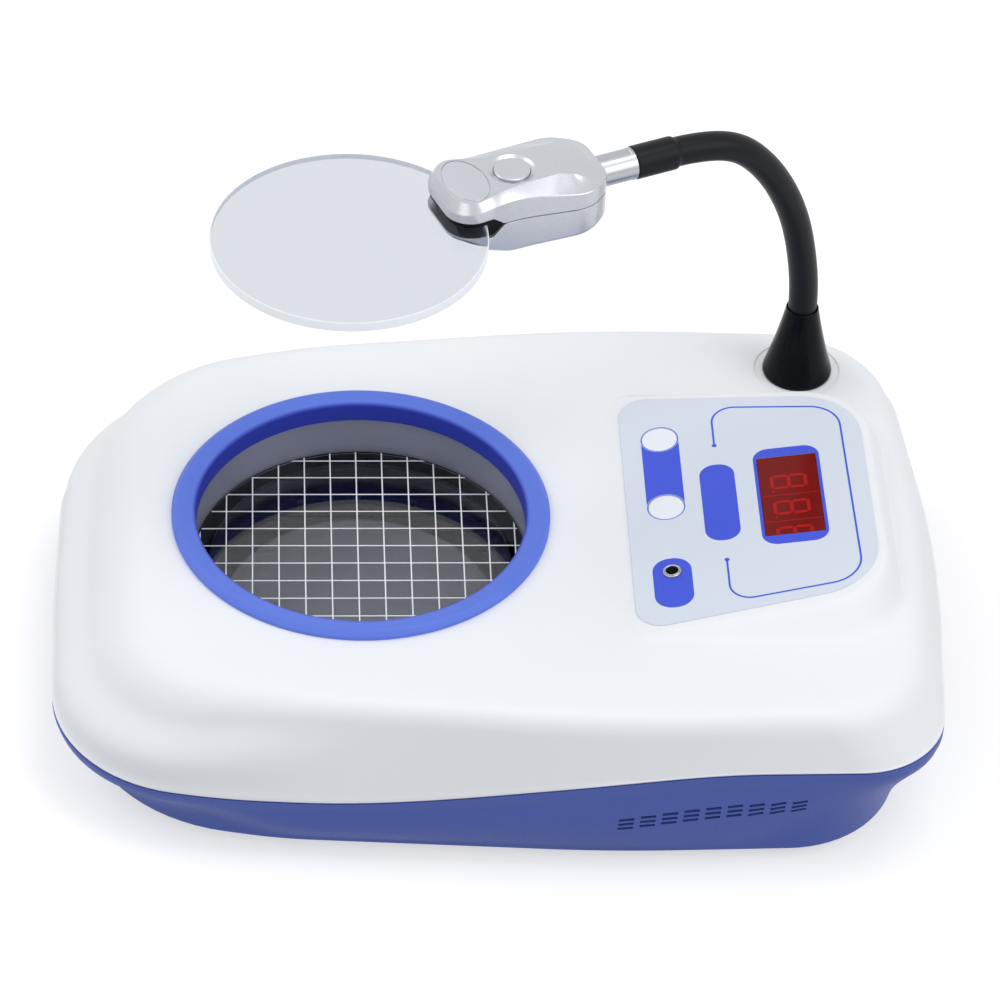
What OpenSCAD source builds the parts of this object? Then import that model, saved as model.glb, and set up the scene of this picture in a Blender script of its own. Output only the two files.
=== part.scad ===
// Digital colony counter: a lit dish well with a grid, a counting panel and a magnifier on a gooseneck.
// Millimetres, +Z up. X is the user's right, Y runs to the rear, the origin is under the housing's centre.

/* [Housing] */
// Length of the housing, front to rear
body_length = 336.5; // [325:1:350]
// Width of the housing at its widest
body_width = 236; // [230:1:246]
// Height of the flat deck above the table
deck_height = 72.3; // [70:0.1:75]
// Wall thickness of the two mouldings
wall = 2.6; // [2:0.1:3]
// Height of the parting line at the front
part_front = 28.2; // [26:0.1:31]
// Height of the parting line at the rear
part_rear = 48.2; // [45:0.1:51]
// Plan radius of the front corners
front_corner_r = 50; // [42:1:54]
// Plan radius of the rear corners
rear_corner_r = 33; // [28:1:38]
// Softness of the deck's edge along the sides and rear
side_shoulder = 8.5; // [7:0.5:10]
// Softness of the deck's edge along the front
front_shoulder = 18; // [15:0.5:20]
// Run of the front slope from deck to parting line
front_slope = 25; // [23:0.5:28]
// Gap between cover and tray along the parting line
part_gap = 0.2; // [0.1:0.05:0.4]
// Height of the upright rim at the rear of the tray
rim_height = 3.5; // [2:0.5:6]
// Height of the rubber feet
foot_height = 4; // [3:0.5:6]
// Radius of the rubber feet
foot_r = 8; // [6:0.5:10]

/* [Dish well] */
// Inner radius of the dish ring
ring_r = 62; // [60:0.5:64]
// Width of the ring's lip
ring_lip = 9.2; // [8:0.2:11]
// Height of the lip above the deck
ring_height = 3.5; // [3:0.25:5]
// Depth of the grid below the deck
grid_depth = 22.3; // [18:0.1:25]
// Thickness of the grid glass
glass_t = 2.2; // [1.6:0.1:3]
// Pitch of the counting grid
grid_pitch = 10; // [8:0.5:12]
// Width of a grid line
grid_line = 0.5; // [0.4:0.05:0.8]
// Depth of the lamp chamber below the glass
chamber_depth = 28; // [22:0.5:30]
// Number of light emitting diodes around the chamber
lamp_count = 16; // [8:1:20]

/* [Counting panel] */
// Tilt of the panel towards the user
panel_tilt = 7.9; // [6:0.1:9]
// Length of the panel sheet up the slope
panel_length = 91; // [86:0.5:94]
// Width of the panel sheet at its front edge
panel_front_w = 135; // [130:1:138]
// Width of the panel sheet at its rear edge
panel_rear_w = 93; // [88:1:98]
// Thickness of the panel sheet
sheet_t = 0.6; // [0.4:0.1:1]
// Height of the panel's front edge above the deck
panel_step = 0.3; // [0.2:0.1:1]
// Radius of the two membrane keys
key_r = 6.7; // [5.5:0.1:7.5]
// Travel of the membrane keys
key_travel = 0.4; // [0.3:0.05:0.6]
// Width of the display window
window_w = 44.8; // [40:0.1:48]
// Height of the display window up the slope
window_h = 22.8; // [21:0.2:26]
// Bore radius of the probe socket
jack_bore_r = 1.8; // [1.5:0.05:2.2]

/* [Gooseneck] */
// Height of the cone at the foot of the neck
cone_height = 31.3; // [28:0.1:38]
// Radius of the cone where it meets the deck
cone_r = 14; // [12:0.5:15]
// Radius of the neck's sleeve
neck_r = 5.6; // [5:0.1:6]
// Radius of the thicker sleeve at the head end
neck_end_r = 6.4; // [6.1:0.1:6.6]
// Length of each of the neck's bending lengths
neck_step = 17.6; // [17:0.1:19]
// Heading of the arm from the rear corner, clockwise from the user's right
arm_heading = 67; // [60:0.5:70]

/* [Magnifier] */
// Diameter of the lens
lens_d = 101; // [96:1:106]
// Thickness of the lens at its rim
lens_rim_t = 3; // [2.6:0.1:3.4]
// Rise of each lens face at the centre
lens_crown = 2.2; // [1.5:0.1:3]
// Length of the head
head_length = 65.5; // [62:0.5:69]
// Width of the head at its rear bulge
head_width = 37; // [35:0.5:40]
// Overlap of the lens and the head
lens_grip = 17.3; // [15:0.1:19]
// Height of the head above the arm's axis
head_top_h = 12.8; // [12:0.1:14.5]
// Depth of the head below the arm's axis
head_low_h = 16.8; // [15.5:0.1:18]
// Radius of the head's push button
button_r = 6.5; // [5.5:0.1:7]
// Travel of the head's push button
button_travel = 1.2; // [0.8:0.1:1.6]

/* [Hidden] */
// Facets of a full turn
$fn = 64;

// Clearances
touch = 0.05;
slide_gap = 0.15;
free_gap = 0.3;
cut = 1;

// Outline of the housing at the parting line, the deck and the floor, as half widths from front to rear,
// with the place and radius of the bend between the tapered front and the long sides
arc_steps = 10;
half_len = body_length / 2;
half_w = body_width / 2;
part_halves = [half_w - 22, half_w - 8.8, half_w + 0.6, half_w - 0.6];
deck_halves = [half_w - 28, half_w - 14, half_w - 3.2, half_w - 4];
floor_halves = [half_w - 31, half_w - 13.5, half_w - 5.6, half_w - 8.2];
part_taper = 66;
deck_taper = 101;
floor_taper = 86;
part_fore = [part_taper - half_len, 250];
deck_fore = [deck_taper - half_len, 400];
floor_fore = [floor_taper - half_len, 180];
wide_y = 40;
side_bow_r = 600;
end_bow_r = 500;
front_bow = 2;
deck_bow = 5;
rear_bow = 8.5;
rear_slope = 9.7;
deck_corner_front = 32;
deck_corner_rear = 30;
front_tuck = 6;
rear_tuck = 18;
floor_corner_front = 64;
rim_front = 1.5;
rim_step = 0.9;
rim_soft = 3;
edge_soft = 3;

// The parting line's wave and the run over which the shoulder softens
wave_y = -80;
wave_run = 185;
soft_y = -150;
soft_run = 90;
flat_share = 0.8;
wall_share = 0.62;
front_cheek = 4;

// Vents low in each side
vent_columns = 9;
vent_rows = 3;
vent_pitch = 7.9;
vent_row_pitch = 2.8;
vent_l = 5.8;
vent_h = 1.1;
vent_deep = 32;
vent_y = 43;
vent_below = 21.4;
vent_lean = 0.9;
vent_tilt = 5;

// Feet
tray_floor = foot_height + wall;
foot_pin_r = 2;
foot_soft = 1;
foot_front_x = 72;
foot_front_in = 49.5;
foot_rear_x = 93.5;
foot_rear_in = 41.5;
feet = [[foot_front_x, foot_front_in - half_len], [foot_rear_x, half_len - foot_rear_in]];

// Dish well
ring_out_r = ring_r + ring_lip;
skirt_t = 2.3;
skirt_r = ring_r + skirt_t;
skirt_drop = 5.8;
lip_edge = 1.6;
lip_run = 3.4;
well_r = ring_r + 1.6;
well_t = 2;
well_flange = 11;
well_front_gap = 3.05;
flat_y = front_slope + flat_share * front_shoulder - half_len;
dish_y = flat_y + well_front_gap + well_r + well_flange;
grid_z = deck_height - grid_depth;
ledge_w = 6;
ledge_t = 2;
ledge_z = grid_z - glass_t - touch;
chamber_r = well_r - ledge_w - 0.6;
chamber_top = ledge_z - ledge_t;
chamber_z = grid_z - chamber_depth;
lamp_r = 2.4;
lamp_z = chamber_z + 9;
strip_gap = 0.8;
strip_h = 8;
strip_t = 0.8;
disc_t = 1;
print_t = 0.1;
grid_shift = [2.8, -0.8];

// Counting panel, measured up the slope and down from its face
panel_rear_gap = 29.1;
panel_run = panel_length * cos(panel_tilt);
panel_y = half_len - panel_rear_gap - panel_run;
panel_z = deck_height + panel_step;
sheet_front_r = 10;
sheet_rear_r = 22;
sheet_top = sheet_t + touch;
wedge_y = panel_y - panel_step / tan(panel_tilt) + 0.5;
wedge_r = 6;
wedge_rear_r = 28;
wedge_side = 4.5;
wedge_top = 6;
wedge_run = 10.5;
wedge_lip = 3.5;
wedge_soft = 0.55;
key_v = 15;
check_u = -39.9;
reset_u = 0;
key_t = 1.2;
key_room = 1.4;
key_stem_r = 2;
window_v = 61.9;
module_face = 1.4;
board_drop = 15;
board_h = 70;
board_t = 1.6;
board_v = 40;
board_post_r = 3.2;
board_clear = 0.9;
switch_w = 6;
switch_body = 4;
switch_h = 6;
switch_stem_r = 1.6;
jack_u = 36.9;
jack_v = 14.8;
jack_w = 9;
jack_l = 11;
jack_deep = 12;
jack_floor = 1.5;
jack_top = sheet_t + 2.2;
jack_barrel_r = 2.95;
jack_nut_r = 3.65;
jack_nut_t = 1.7;
post_in = 5;
board_reach = max(jack_u + jack_w / 2, switch_w / 2 - check_u);
board_w = 2 * (board_reach + board_clear + board_post_r + post_in);

// Rear fittings in a pocket of the tray
rear_panel_y = half_len - 21;
pocket_w = 70;
pocket_h = 30;
pocket_z = 26;
inlet_x = 14;
inlet_w = 24;
inlet_h = 16.4;
inlet_deep = 17;
inlet_wall = 1.5;
inlet_rim = 4.5;
inlet_rim_t = 2.4;
inlet_hole_w = inlet_w + 2 * inlet_wall + 2 * slide_gap;
inlet_hole_h = inlet_h + 2 * inlet_wall + 2 * slide_gap;
inlet_pins = [[-7, 2], [7, 2], [0, -2]];
pin_w = 2;
pin_h = 4;
pin_tip = -5;
switch_x = -20;
rocker_w = 12.6;
rocker_h = 19;
frame_wall = 1.5;
frame_rim = 3;
frame_rim_t = 2;
frame_deep = 12;
rocker_room = 9;
switch_hole_w = rocker_w + 2 * frame_wall + 2 * slide_gap;
switch_hole_h = rocker_h + 2 * frame_wall + 2 * slide_gap;
pivot_r = 1.5;
rocker_ease = 1.5;
rocker_in = 1.2;
rocker_mid = 3.2;
rocker_out = 4.6;
rocker_low = 4;

// Pillars and posts, with the screws that hold them
pillar_r = 5;
pillar_z = 36;
pillar_bore = 14;
pillar_front_x = 84;
pillar_front_in = 69.5;
pillar_rear_x = 70;
pillar_rear_in = 29.5;
pillars = [[pillar_front_x, pillar_front_in - half_len], [pillar_rear_x, half_len - pillar_rear_in]];
screw_r = 1.15;
tap_r = 1.2;
screw_hole_r = 1.5;
screw_head_r = 2.6;
screw_head_h = 1.6;
screw_grip = 8;
screw_bite = 7;

// Mains supply on the tray's floor
supply_z = 13;
supply_w = 110;
supply_h = 58;
supply_rear_gap = 105.5;
supply_y = half_len - supply_rear_gap;
supply_post_r = 3;
coil = [28, 40, 30];
core = [40, 32, 24];
coil_x = -30;

// Neck: bend of each length in degrees, foot first, from upright to level
neck_bends = [8, 5, 9, 10, 13, 32, 13, 0];
neck_clear = 0.5;
neck_rear_gap = 47.3;
neck_x = -panel_front_w / 2 - wedge_side - cone_r - neck_clear;
neck_y = half_len - neck_rear_gap;
thick_from = 6;
ball_r = 8;
cone_top_r = neck_r + 0.2;
seat_r = cone_r + 3.3;
seat_deep = 0.6;
stub_r = 5;
stub_len = 12;
nut_t = 5;
nut_r = 9;

// Head
ferrule_r = 6;
ferrule_show = 15.6;
ferrule_in = 9;
lens_drop = lens_rim_t / 2;
head_front = lens_d / 2 - lens_grip;
head_rear = head_front + head_length;
head_bevel = 6;
nose_r = 10;
nose_taper = 2.4;
waist_s = 28;
waist_in = 6;
waist_r = 40;
bulge_s = 17;
bulge_r = 16;
tail_taper = 8;
flat_h = head_top_h - 1.2;
flat_end = head_front + 40;
scoop_r = 12;
scoop_run = 6;
chin_s = head_front + 35.5;
chin_slope = 17;
gasket_h = 3.6;
gasket_len = 20;
gasket_in = 0.8;
inlay_s = head_front + 11.5;
inlay_w = 24;
inlay_l = 12.5;
inlay_t = 0.8;
button_s = head_front + 29.5;
button_t = 3;
button_show = 0.7;
button_ease = 1.7;
button_dish = 0.5;
light_l = 16;
light_w = 18;
light_top = 2 * touch + board_t;
light_switch_r = 2.6;
light_switch_h = 3;
light_room = light_top + light_switch_h + 1.5;
diode_s = 4;
diode_y = 5;
diode_r = 2;
diode_h = 5;
head_screw_in = 46;
head_screw_s = head_front + head_screw_in;
head_screw_y = 11;
head_screw_z = -5;
neck_turn = [for (i = [0:len(neck_bends)]) heading_at(i)];
neck_path = [for (i = [0:len(neck_bends)]) neck_point(i)];
arm_rise = neck_path[len(neck_bends)][1];
arm_reach = neck_path[len(neck_bends)][0] + ferrule_show + head_rear;

blue = "#4A5FC4";
white = "#EEF1F5";
grey = "#7A7D8E";
black = "#1E2028";
silver = "#C6C9D0";
green = "#2F6B4A";

// Small functions
function smooth(u) = let (c = min(1, max(0, u))) c * c * (3 - 2 * c);
function mix(a, b, t) = a + (b - a) * t;
function unit(v) = v / norm(v);
function sum_to(list, n) = n <= 0 ? 0 : list[n - 1] + sum_to(list, n - 1);
function middle(ring) = [for (k = [0:2]) sum_to([for (p = ring) p[k]], len(ring)) / len(ring)];
function reversed(list) = [for (i = [len(list) - 1:-1:0]) list[i]];
function apex(r, rise, half) = r * (1 / cos(atan(rise / half)) - 1);

// One rounded corner: a to b to c, with radius r, as steps + 1 points
function corner_arc(a, b, c, r, steps) =
    let (d = unit(b - a), e = unit(c - b), turn = cross(d, e) > 0 ? 1 : -1, bend = acos(d * e),
        p = b - d * r * tan(bend / 2), m = p + turn * r * [-d[1], d[0]], w = atan2(p[1] - m[1], p[0] - m[0]))
    [for (k = [0:steps]) m + r * [cos(w + turn * bend * k / steps), sin(w + turn * bend * k / steps)]];

// A closed outline from corners [x, y, radius]
function rounded(corners, steps) =
    let (n = len(corners), q = [for (v = corners) [v[0], v[1]]])
    [for (i = [0:n - 1]) each corner_arc(q[(i + n - 1) % n], q[i], q[(i + 1) % n], corners[i][2], steps)];

// Adds the mirrored left half to the corners of the right half
function both_sides(half) =
    concat(half, [for (v = reversed(half)) if (v[0] > 0) [-v[0], v[1], v[2]]]);

function at_height(flat, z) = [for (p = flat) [p[0], p[1], z]];

// Rings of a soft edge from a wall point through a sharp edge to a flat
function soft_edge(low, edge, flat, steps) =
    [for (k = [0:steps]) let (u = k / steps, v = 1 - u)
        [for (i = [0:len(low) - 1]) low[i] * v * v + edge[i] * 2 * u * v + flat[i] * u * u]];

// A solid skinned over rings of equal point counts, closed by a fan at each end
module loft(rings) {
    n = len(rings[0]);
    m = len(rings);
    points = concat([for (r = rings) each r], [middle(rings[0]), middle(rings[m - 1])]);
    walls = [for (j = [0:m - 2], i = [0:n - 1])
        let (a = j * n + i, b = j * n + (i + 1) % n)
        each [[a, a + n, b + n], [a, b + n, b]]];
    ends = [for (i = [0:n - 1])
        let (j = (i + 1) % n)
        each [[i, j, m * n], [(m - 1) * n + j, (m - 1) * n + i, m * n + 1]]];
    polyhedron(points, concat(walls, ends));
}

// Housing outlines, inset from the outer skin
function plan(ends, halves, fore, radii, bows, in) =
    rounded(both_sides([
        [0, in - ends[0] - apex(end_bow_r, bows[0], halves[0]), end_bow_r],
        [halves[0] - in, in + bows[0] - ends[0], radii[0]],
        [halves[1] - in, fore[0], fore[1]],
        [halves[2] - in, wide_y, side_bow_r],
        [halves[3] - in, ends[1] - bows[1] - in, radii[1]],
        [0, ends[1] - in + apex(end_bow_r, bows[1], halves[3]), end_bow_r]]), arc_steps);
function part_plan(in) =
    plan([half_len, half_len], part_halves, part_fore, [front_corner_r - in, rear_corner_r - in],
        [front_bow, rear_bow], in);
function deck_plan(in) =
    plan([half_len - front_slope, half_len - rear_slope], deck_halves, deck_fore,
        [deck_corner_front - in / 2, deck_corner_rear - in / 2], [deck_bow, rear_bow], in);
function floor_plan(in) =
    plan([half_len - front_tuck, half_len - rear_tuck], floor_halves, floor_fore,
        [floor_corner_front - in, rear_corner_r - in], [front_bow, rear_bow], in);

// Height of the parting line, which climbs in a soft wave from front to rear
function part_z(y) = mix(part_front, part_rear, smooth((y - wave_y) / wave_run));
function on_part_line(flat, dz) = [for (p = flat) [p[0], p[1], part_z(p[1]) + dz]];
function rim_at(y) = mix(rim_front, rim_height, smooth((y - wave_y) / wave_run));
function under_rim(flat, dz) = [for (p = flat) [p[0], p[1], part_z(p[1]) - rim_at(p[1]) + dz]];
function softness(y) = smooth((y - soft_y) / soft_run);

// Rings of the cover's skin, from the parting line to the deck
function cover_rings(in, top, steps) =
    let (low = on_part_line(part_plan(in), 0), edge = at_height(deck_plan(in), top), n = len(low),
        fore = at_height(deck_plan(front_shoulder * flat_share), top),
        aft = at_height(deck_plan(side_shoulder * flat_share), top),
        flat = [for (i = [0:n - 1]) mix(fore[i], aft[i], softness(aft[i][1]))],
        out = at_height(part_plan(in - front_cheek), 0), flush = at_height(part_plan(in), 0),
        cheek = [for (i = [0:n - 1]) (out[i] - flush[i]) * (1 - softness(low[i][1]))],
        brow = [for (i = [0:n - 1])
            let (h = edge[i][2] - low[i][2], drop = mix(front_shoulder, side_shoulder, softness(edge[i][1])))
            mix(edge[i], low[i], min(wall_share, drop / h))])
    concat([low, [for (i = [0:n - 1]) mix(low[i], brow[i], 0.5) + cheek[i]]], soft_edge(brow, edge, flat, steps));

// The raised wedge that carries the panel
function plane_z(y) = panel_z + (y - panel_y) * tan(panel_tilt);
function on_plane(flat, drop) = [for (p = flat) [p[0], p[1], plane_z(p[1]) - drop]];
function wedge_plan(front_half, rear_half, rear, r) =
    rounded([[front_half, wedge_y, wedge_r], [rear_half, rear, r], [-rear_half, rear, r],
        [-front_half, wedge_y, wedge_r]], arc_steps);
function wedge_rings(in) =
    let (rear = panel_y + panel_run, wide = panel_front_w / 2 + wedge_side,
        slim = panel_rear_w / 2 + wedge_top,
        foot = wedge_plan(wide - in, wide - 1 - in, rear + wedge_run - in, wedge_rear_r - in),
        top = wedge_plan(wide - 0.5 - in, slim - in, rear + wedge_lip - in, wedge_rear_r - 4 - in),
        flat = wedge_plan(wide - 2 - in, slim - wedge_lip - in, rear + 1 - in, wedge_rear_r - 6 - in),
        base = at_height(foot, deck_height - in - cut), sill = at_height(foot, deck_height - in),
        rim = on_plane(top, in))
    concat([base], soft_edge([for (i = [0:len(rim) - 1]) mix(rim[i], sill[i], wedge_soft)],
        rim, on_plane(flat, in), 4));

module at_dish() {
    translate([0, dish_y, 0]) children();
}

module at_panel() {
    translate([0, panel_y, panel_z]) rotate([panel_tilt, 0, 0]) children();
}

module hole(r, low, high, $fn = 64) {
    translate([0, 0, low]) cylinder(r = r, h = high - low);
}

// A block centred on x and y, from one height to another
module block(size_x, size_y, low, high) {
    translate([-size_x / 2, -size_y / 2, low]) cube([size_x, size_y, high - low]);
}

// A screw with its head's seat at zero, pointing up
module screw(length) {
    hole(screw_head_r, -screw_head_h, 0);
    hole(screw_r, -touch, length);
}

// Base tray
module tray_solid() {
    side = floor_plan(0);
    loft(concat(
        soft_edge(at_height(floor_plan(edge_soft), foot_height), at_height(side, foot_height),
            at_height(side, foot_height + edge_soft), 3),
        [under_rim(part_plan(rim_step), -rim_soft), under_rim(part_plan(0), 0),
            on_part_line(part_plan(0), -part_gap)]));
}

module tray_room() {
    loft([at_height(floor_plan(wall + edge_soft / 2), tray_floor),
        at_height(floor_plan(wall), tray_floor + edge_soft),
        under_rim(part_plan(wall + rim_step), -rim_soft), on_part_line(part_plan(wall), cut)]);
}

module rear_pocket(grow, from, to) {
    translate([-pocket_w / 2 - grow, from, pocket_z - pocket_h / 2 - grow])
        cube([pocket_w + 2 * grow, to - from, pocket_h + 2 * grow]);
}

module vents() {
    for (side = [-1, 1], c = [0:vent_columns - 1], r = [0:vent_rows - 1]) {
        y = vent_y + c * vent_pitch + r * vent_lean;
        z = part_z(y) - vent_below + r * vent_row_pitch;
        translate([side * floor_halves[2], y, z]) rotate([vent_tilt, 0, 0])
            cube([vent_deep, vent_l, vent_h], center = true);
    }
}

module pillar_places() {
    for (p = pillars, side = [-1, 1]) translate([side * p[0], p[1], 0]) children();
}

module base_tray() {
    color(blue) difference() {
        union() {
            difference() {
                tray_solid();
                tray_room();
            }
            intersection() {
                tray_solid();
                rear_pocket(wall, rear_panel_y - wall, half_len);
            }
            pillar_places() hole(pillar_r, tray_floor - touch, pillar_z);
            supply_posts() hole(supply_post_r, tray_floor - touch, supply_z - touch);
        }
        rear_pocket(0, rear_panel_y, half_len + cut);
        at_rear(inlet_x) block(inlet_hole_w, inlet_hole_h, -2 * wall, cut);
        at_rear(switch_x) block(switch_hole_w, switch_hole_h, -2 * wall, cut);
        vents();
        pillar_places() {
            hole(screw_hole_r, 0, pillar_z + cut);
            hole(screw_head_r + free_gap, 0, pillar_z - screw_grip);
        }
        supply_posts() hole(tap_r, supply_z - screw_bite, supply_z + cut);
        feet_places() hole(foot_pin_r + touch, 0, tray_floor + cut);
    }
}

module feet_places() {
    for (f = feet, side = [-1, 1]) translate([side * f[0], f[1], 0]) children();
}

module rubber_feet() {
    seat = foot_height - touch;
    color("#C9C4B4") feet_places() rotate_extrude()
        polygon([[0, 0], [foot_r - foot_soft, 0], [foot_r, foot_soft], [foot_r, seat], [foot_pin_r, seat],
            [foot_pin_r, tray_floor], [0, tray_floor]]);
}

// Top cover
module cover_shell() {
    loft(concat(reversed(cover_rings(wall, deck_height - wall, 3)), cover_rings(0, deck_height, 5)));
}

module top_cover() {
    color(white) difference() {
        union() {
            difference() {
                union() {
                    cover_shell();
                    loft(wedge_rings(0));
                }
                loft(wedge_rings(wall));
            }
            pillar_places() hole(pillar_r, pillar_z + touch, deck_height - wall / 2);
            at_panel() board_posts() hole(board_post_r, touch - board_drop, -wall / 2);
        }
        at_dish() hole(skirt_r + free_gap, deck_height - wall - cut, deck_height + cut);
        pillar_places() hole(tap_r, pillar_z - cut, pillar_z + pillar_bore);
        at_neck() {
            hole(seat_r, -seat_deep, cut);
            hole(stub_r + slide_gap, -wall - cut, cut);
        }
        at_panel() {
            key_places() {
                hole(key_r + free_gap, -key_room, cut);
                hole(key_stem_r + free_gap, -2 * wall, cut);
            }
            translate([jack_u, jack_v, 0]) hole(jack_barrel_r + slide_gap, -2 * wall, cut);
            translate([0, window_v, 0])
                block(window_w + 2 * free_gap, window_h + 2 * free_gap, -2 * wall, cut);
            board_posts() hole(tap_r, -board_drop - cut, screw_bite - board_drop);
        }
    }
}

module cover_screws() {
    color(silver) pillar_places() translate([0, 0, pillar_z - screw_grip - touch])
        screw(screw_grip + pillar_bore - 2 * cut);
}

// Dish well
module dish_ring() {
    top = deck_height + ring_height;
    low = deck_height - skirt_drop;
    seat = deck_height + touch;
    color(blue) at_dish() rotate_extrude($fn = 128) polygon(rounded([
        [ring_r, low, 0.3], [skirt_r, low, 0.3], [skirt_r, seat, 0.2], [ring_out_r, seat, 0.3],
        [ring_out_r, deck_height + lip_edge, 0.8], [ring_out_r - lip_run, top, 4], [ring_r + 1, top, 2]], 5));
}

module well_cup() {
    top = deck_height - wall - touch;
    seat = deck_height - skirt_drop - touch;
    color(grey) at_dish() rotate_extrude($fn = 128) polygon([
        [well_r - ledge_w, chamber_top], [well_r + well_t, chamber_top], [well_r + well_t, top - well_t],
        [well_r + well_flange, top - well_t], [well_r + well_flange, top], [skirt_r + free_gap, top],
        [skirt_r + free_gap, seat], [well_r, seat], [well_r, ledge_z], [well_r - ledge_w, ledge_z]]);
}

module grid_glass() {
    color([0.75, 0.78, 0.82, 0.45]) at_dish() translate([0, 0, grid_z - glass_t])
        cylinder(r = well_r - free_gap, h = glass_t, $fn = 128);
}

module grid_print() {
    reach = well_r - 1;
    count = floor(reach / grid_pitch);
    color("white") at_dish() translate([0, 0, grid_z]) linear_extrude(print_t) intersection() {
        circle(r = reach, $fn = 96);
        for (k = [-count:count]) {
            translate([k * grid_pitch + grid_shift[0], 0]) square([grid_line, 2 * reach], center = true);
            translate([0, k * grid_pitch + grid_shift[1]]) square([2 * reach, grid_line], center = true);
        }
    }
}

module lamp_places() {
    for (k = [0:lamp_count - 1]) rotate(k * 360 / lamp_count) translate([chamber_r, 0, lamp_z])
        rotate([0, 90, 0]) children();
}

module lamp_chamber() {
    top = chamber_top - touch;
    low = chamber_z - well_t;
    color("#34363F") at_dish() difference() {
        rotate_extrude($fn = 128) polygon([[0, low], [chamber_r + well_t, low],
            [chamber_r + well_t, top - well_t], [well_r + well_t, top - well_t], [well_r + well_t, top],
            [chamber_r, top], [chamber_r, chamber_z], [0, chamber_z]]);
        lamp_places() hole(lamp_r + slide_gap, -cut, well_t + cut);
    }
}

module lamp_strip() {
    strip_r = chamber_r + well_t + strip_gap;
    color("#D8D4C0") at_dish() translate([0, 0, lamp_z]) difference() {
        cylinder(r = strip_r + strip_t, h = strip_h, center = true, $fn = 128);
        cylinder(r = strip_r, h = strip_h + cut, center = true, $fn = 128);
    }
}

module lamp_diodes() {
    color("#F4F2DC") at_dish() lamp_places() cylinder(r = lamp_r, h = well_t + strip_gap - touch);
}

module background_disc() {
    color("#6E717C") at_dish() translate([0, 0, chamber_z + touch])
        cylinder(r = chamber_r - free_gap, h = disc_t, $fn = 128);
}

// Counting panel
module sheet_outline() {
    polygon(rounded([[panel_front_w / 2, 0, sheet_front_r], [panel_rear_w / 2, panel_length, sheet_rear_r],
        [-panel_rear_w / 2, panel_length, sheet_rear_r], [-panel_front_w / 2, 0, sheet_front_r]], arc_steps));
}

module key_places() {
    for (u = [check_u, reset_u]) translate([u, key_v, 0]) children();
}

module control_panel() {
    color("#D6DEEB") at_panel() translate([0, 0, touch]) difference() {
        linear_extrude(sheet_t) sheet_outline();
        key_places() hole(key_r + slide_gap, -cut, sheet_t + cut);
        translate([jack_u, jack_v, 0]) hole(jack_barrel_r + slide_gap, -cut, sheet_t + cut);
        translate([0, window_v, 0])
            block(window_w + 2 * slide_gap, window_h + 2 * slide_gap, -cut, sheet_t + cut);
    }
}

module key(u) {
    color("#F2F5FA") at_panel() translate([u, key_v, 0]) {
        hole(key_r, sheet_top - key_t, sheet_top);
        hole(key_stem_r, touch - board_drop + switch_h + key_travel + touch, 0);
    }
}

module check_key() {
    key(check_u);
}

module reset_key() {
    key(reset_u);
}

module display_window() {
    color([0.5, 0.06, 0.05, 0.85]) at_panel() translate([0, window_v, 0])
        block(window_w, window_h, -module_face, sheet_top);
}

module display_module() {
    color("#3A1512") at_panel() for (k = [-1:1]) translate([k * window_w / 3, window_v, 0])
        block(window_w / 3 - 2 * slide_gap, window_h, touch - board_drop, -module_face - touch);
}

module board_posts() {
    for (x = [-1, 1], y = [-1, 1])
        translate([x * (board_w / 2 - post_in), board_v + y * (board_h / 2 - post_in), 0]) children();
}

module control_board() {
    color(green) at_panel() difference() {
        translate([0, board_v, 0]) block(board_w, board_h, -board_drop - board_t, -board_drop);
        board_posts() hole(screw_hole_r, -board_drop - board_t - cut, cut - board_drop);
    }
}

module key_switches() {
    color(black) at_panel() key_places() translate([0, 0, touch - board_drop]) {
        block(switch_w, switch_w, 0, switch_body);
        hole(switch_stem_r, 0, switch_h);
    }
}

module probe_jack() {
    color(silver) at_panel() translate([jack_u, jack_v, 0]) difference() {
        union() {
            block(jack_w, jack_l, -wall - jack_deep, -wall - touch);
            hole(jack_barrel_r, -wall - cut, jack_top);
        }
        hole(jack_bore_r, jack_floor - wall - jack_deep, jack_top + cut);
    }
}

module jack_nut() {
    color(silver) at_panel() translate([jack_u, jack_v, sheet_top + touch]) difference() {
        cylinder(r = jack_nut_r, h = jack_nut_t);
        hole(jack_barrel_r + touch, -cut, jack_nut_t + cut);
    }
}

module board_screws() {
    color(silver) at_panel() board_posts() translate([0, 0, -board_drop - board_t - touch])
        screw(board_t + screw_bite - cut);
}

// Rear fittings
module at_rear(x) {
    translate([x, rear_panel_y, pocket_z]) rotate([-90, 0, 0]) children();
}

module power_inlet() {
    color(black) at_rear(inlet_x) difference() {
        union() {
            block(inlet_w + 2 * inlet_rim, inlet_h + 2 * inlet_rim, touch, inlet_rim_t);
            block(inlet_w + 2 * inlet_wall, inlet_h + 2 * inlet_wall, -inlet_deep, cut);
        }
        block(inlet_w, inlet_h, inlet_wall - inlet_deep, inlet_rim_t + cut);
    }
    color(silver) at_rear(inlet_x) for (pin = inlet_pins) translate([pin[0], pin[1], 0])
        block(pin_w, pin_h, -inlet_deep, pin_tip);
}

module switch_frame() {
    color(black) at_rear(switch_x) difference() {
        union() {
            block(rocker_w + 2 * frame_rim, rocker_h + 2 * frame_rim, touch, frame_rim_t);
            block(rocker_w + 2 * frame_wall, rocker_h + 2 * frame_wall, -frame_deep, cut);
        }
        block(rocker_w, rocker_h, frame_wall - rocker_room, frame_rim_t + cut);
        rotate([0, 90, 0]) cylinder(r = pivot_r + touch, h = rocker_w + frame_wall, center = true);
    }
}

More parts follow.
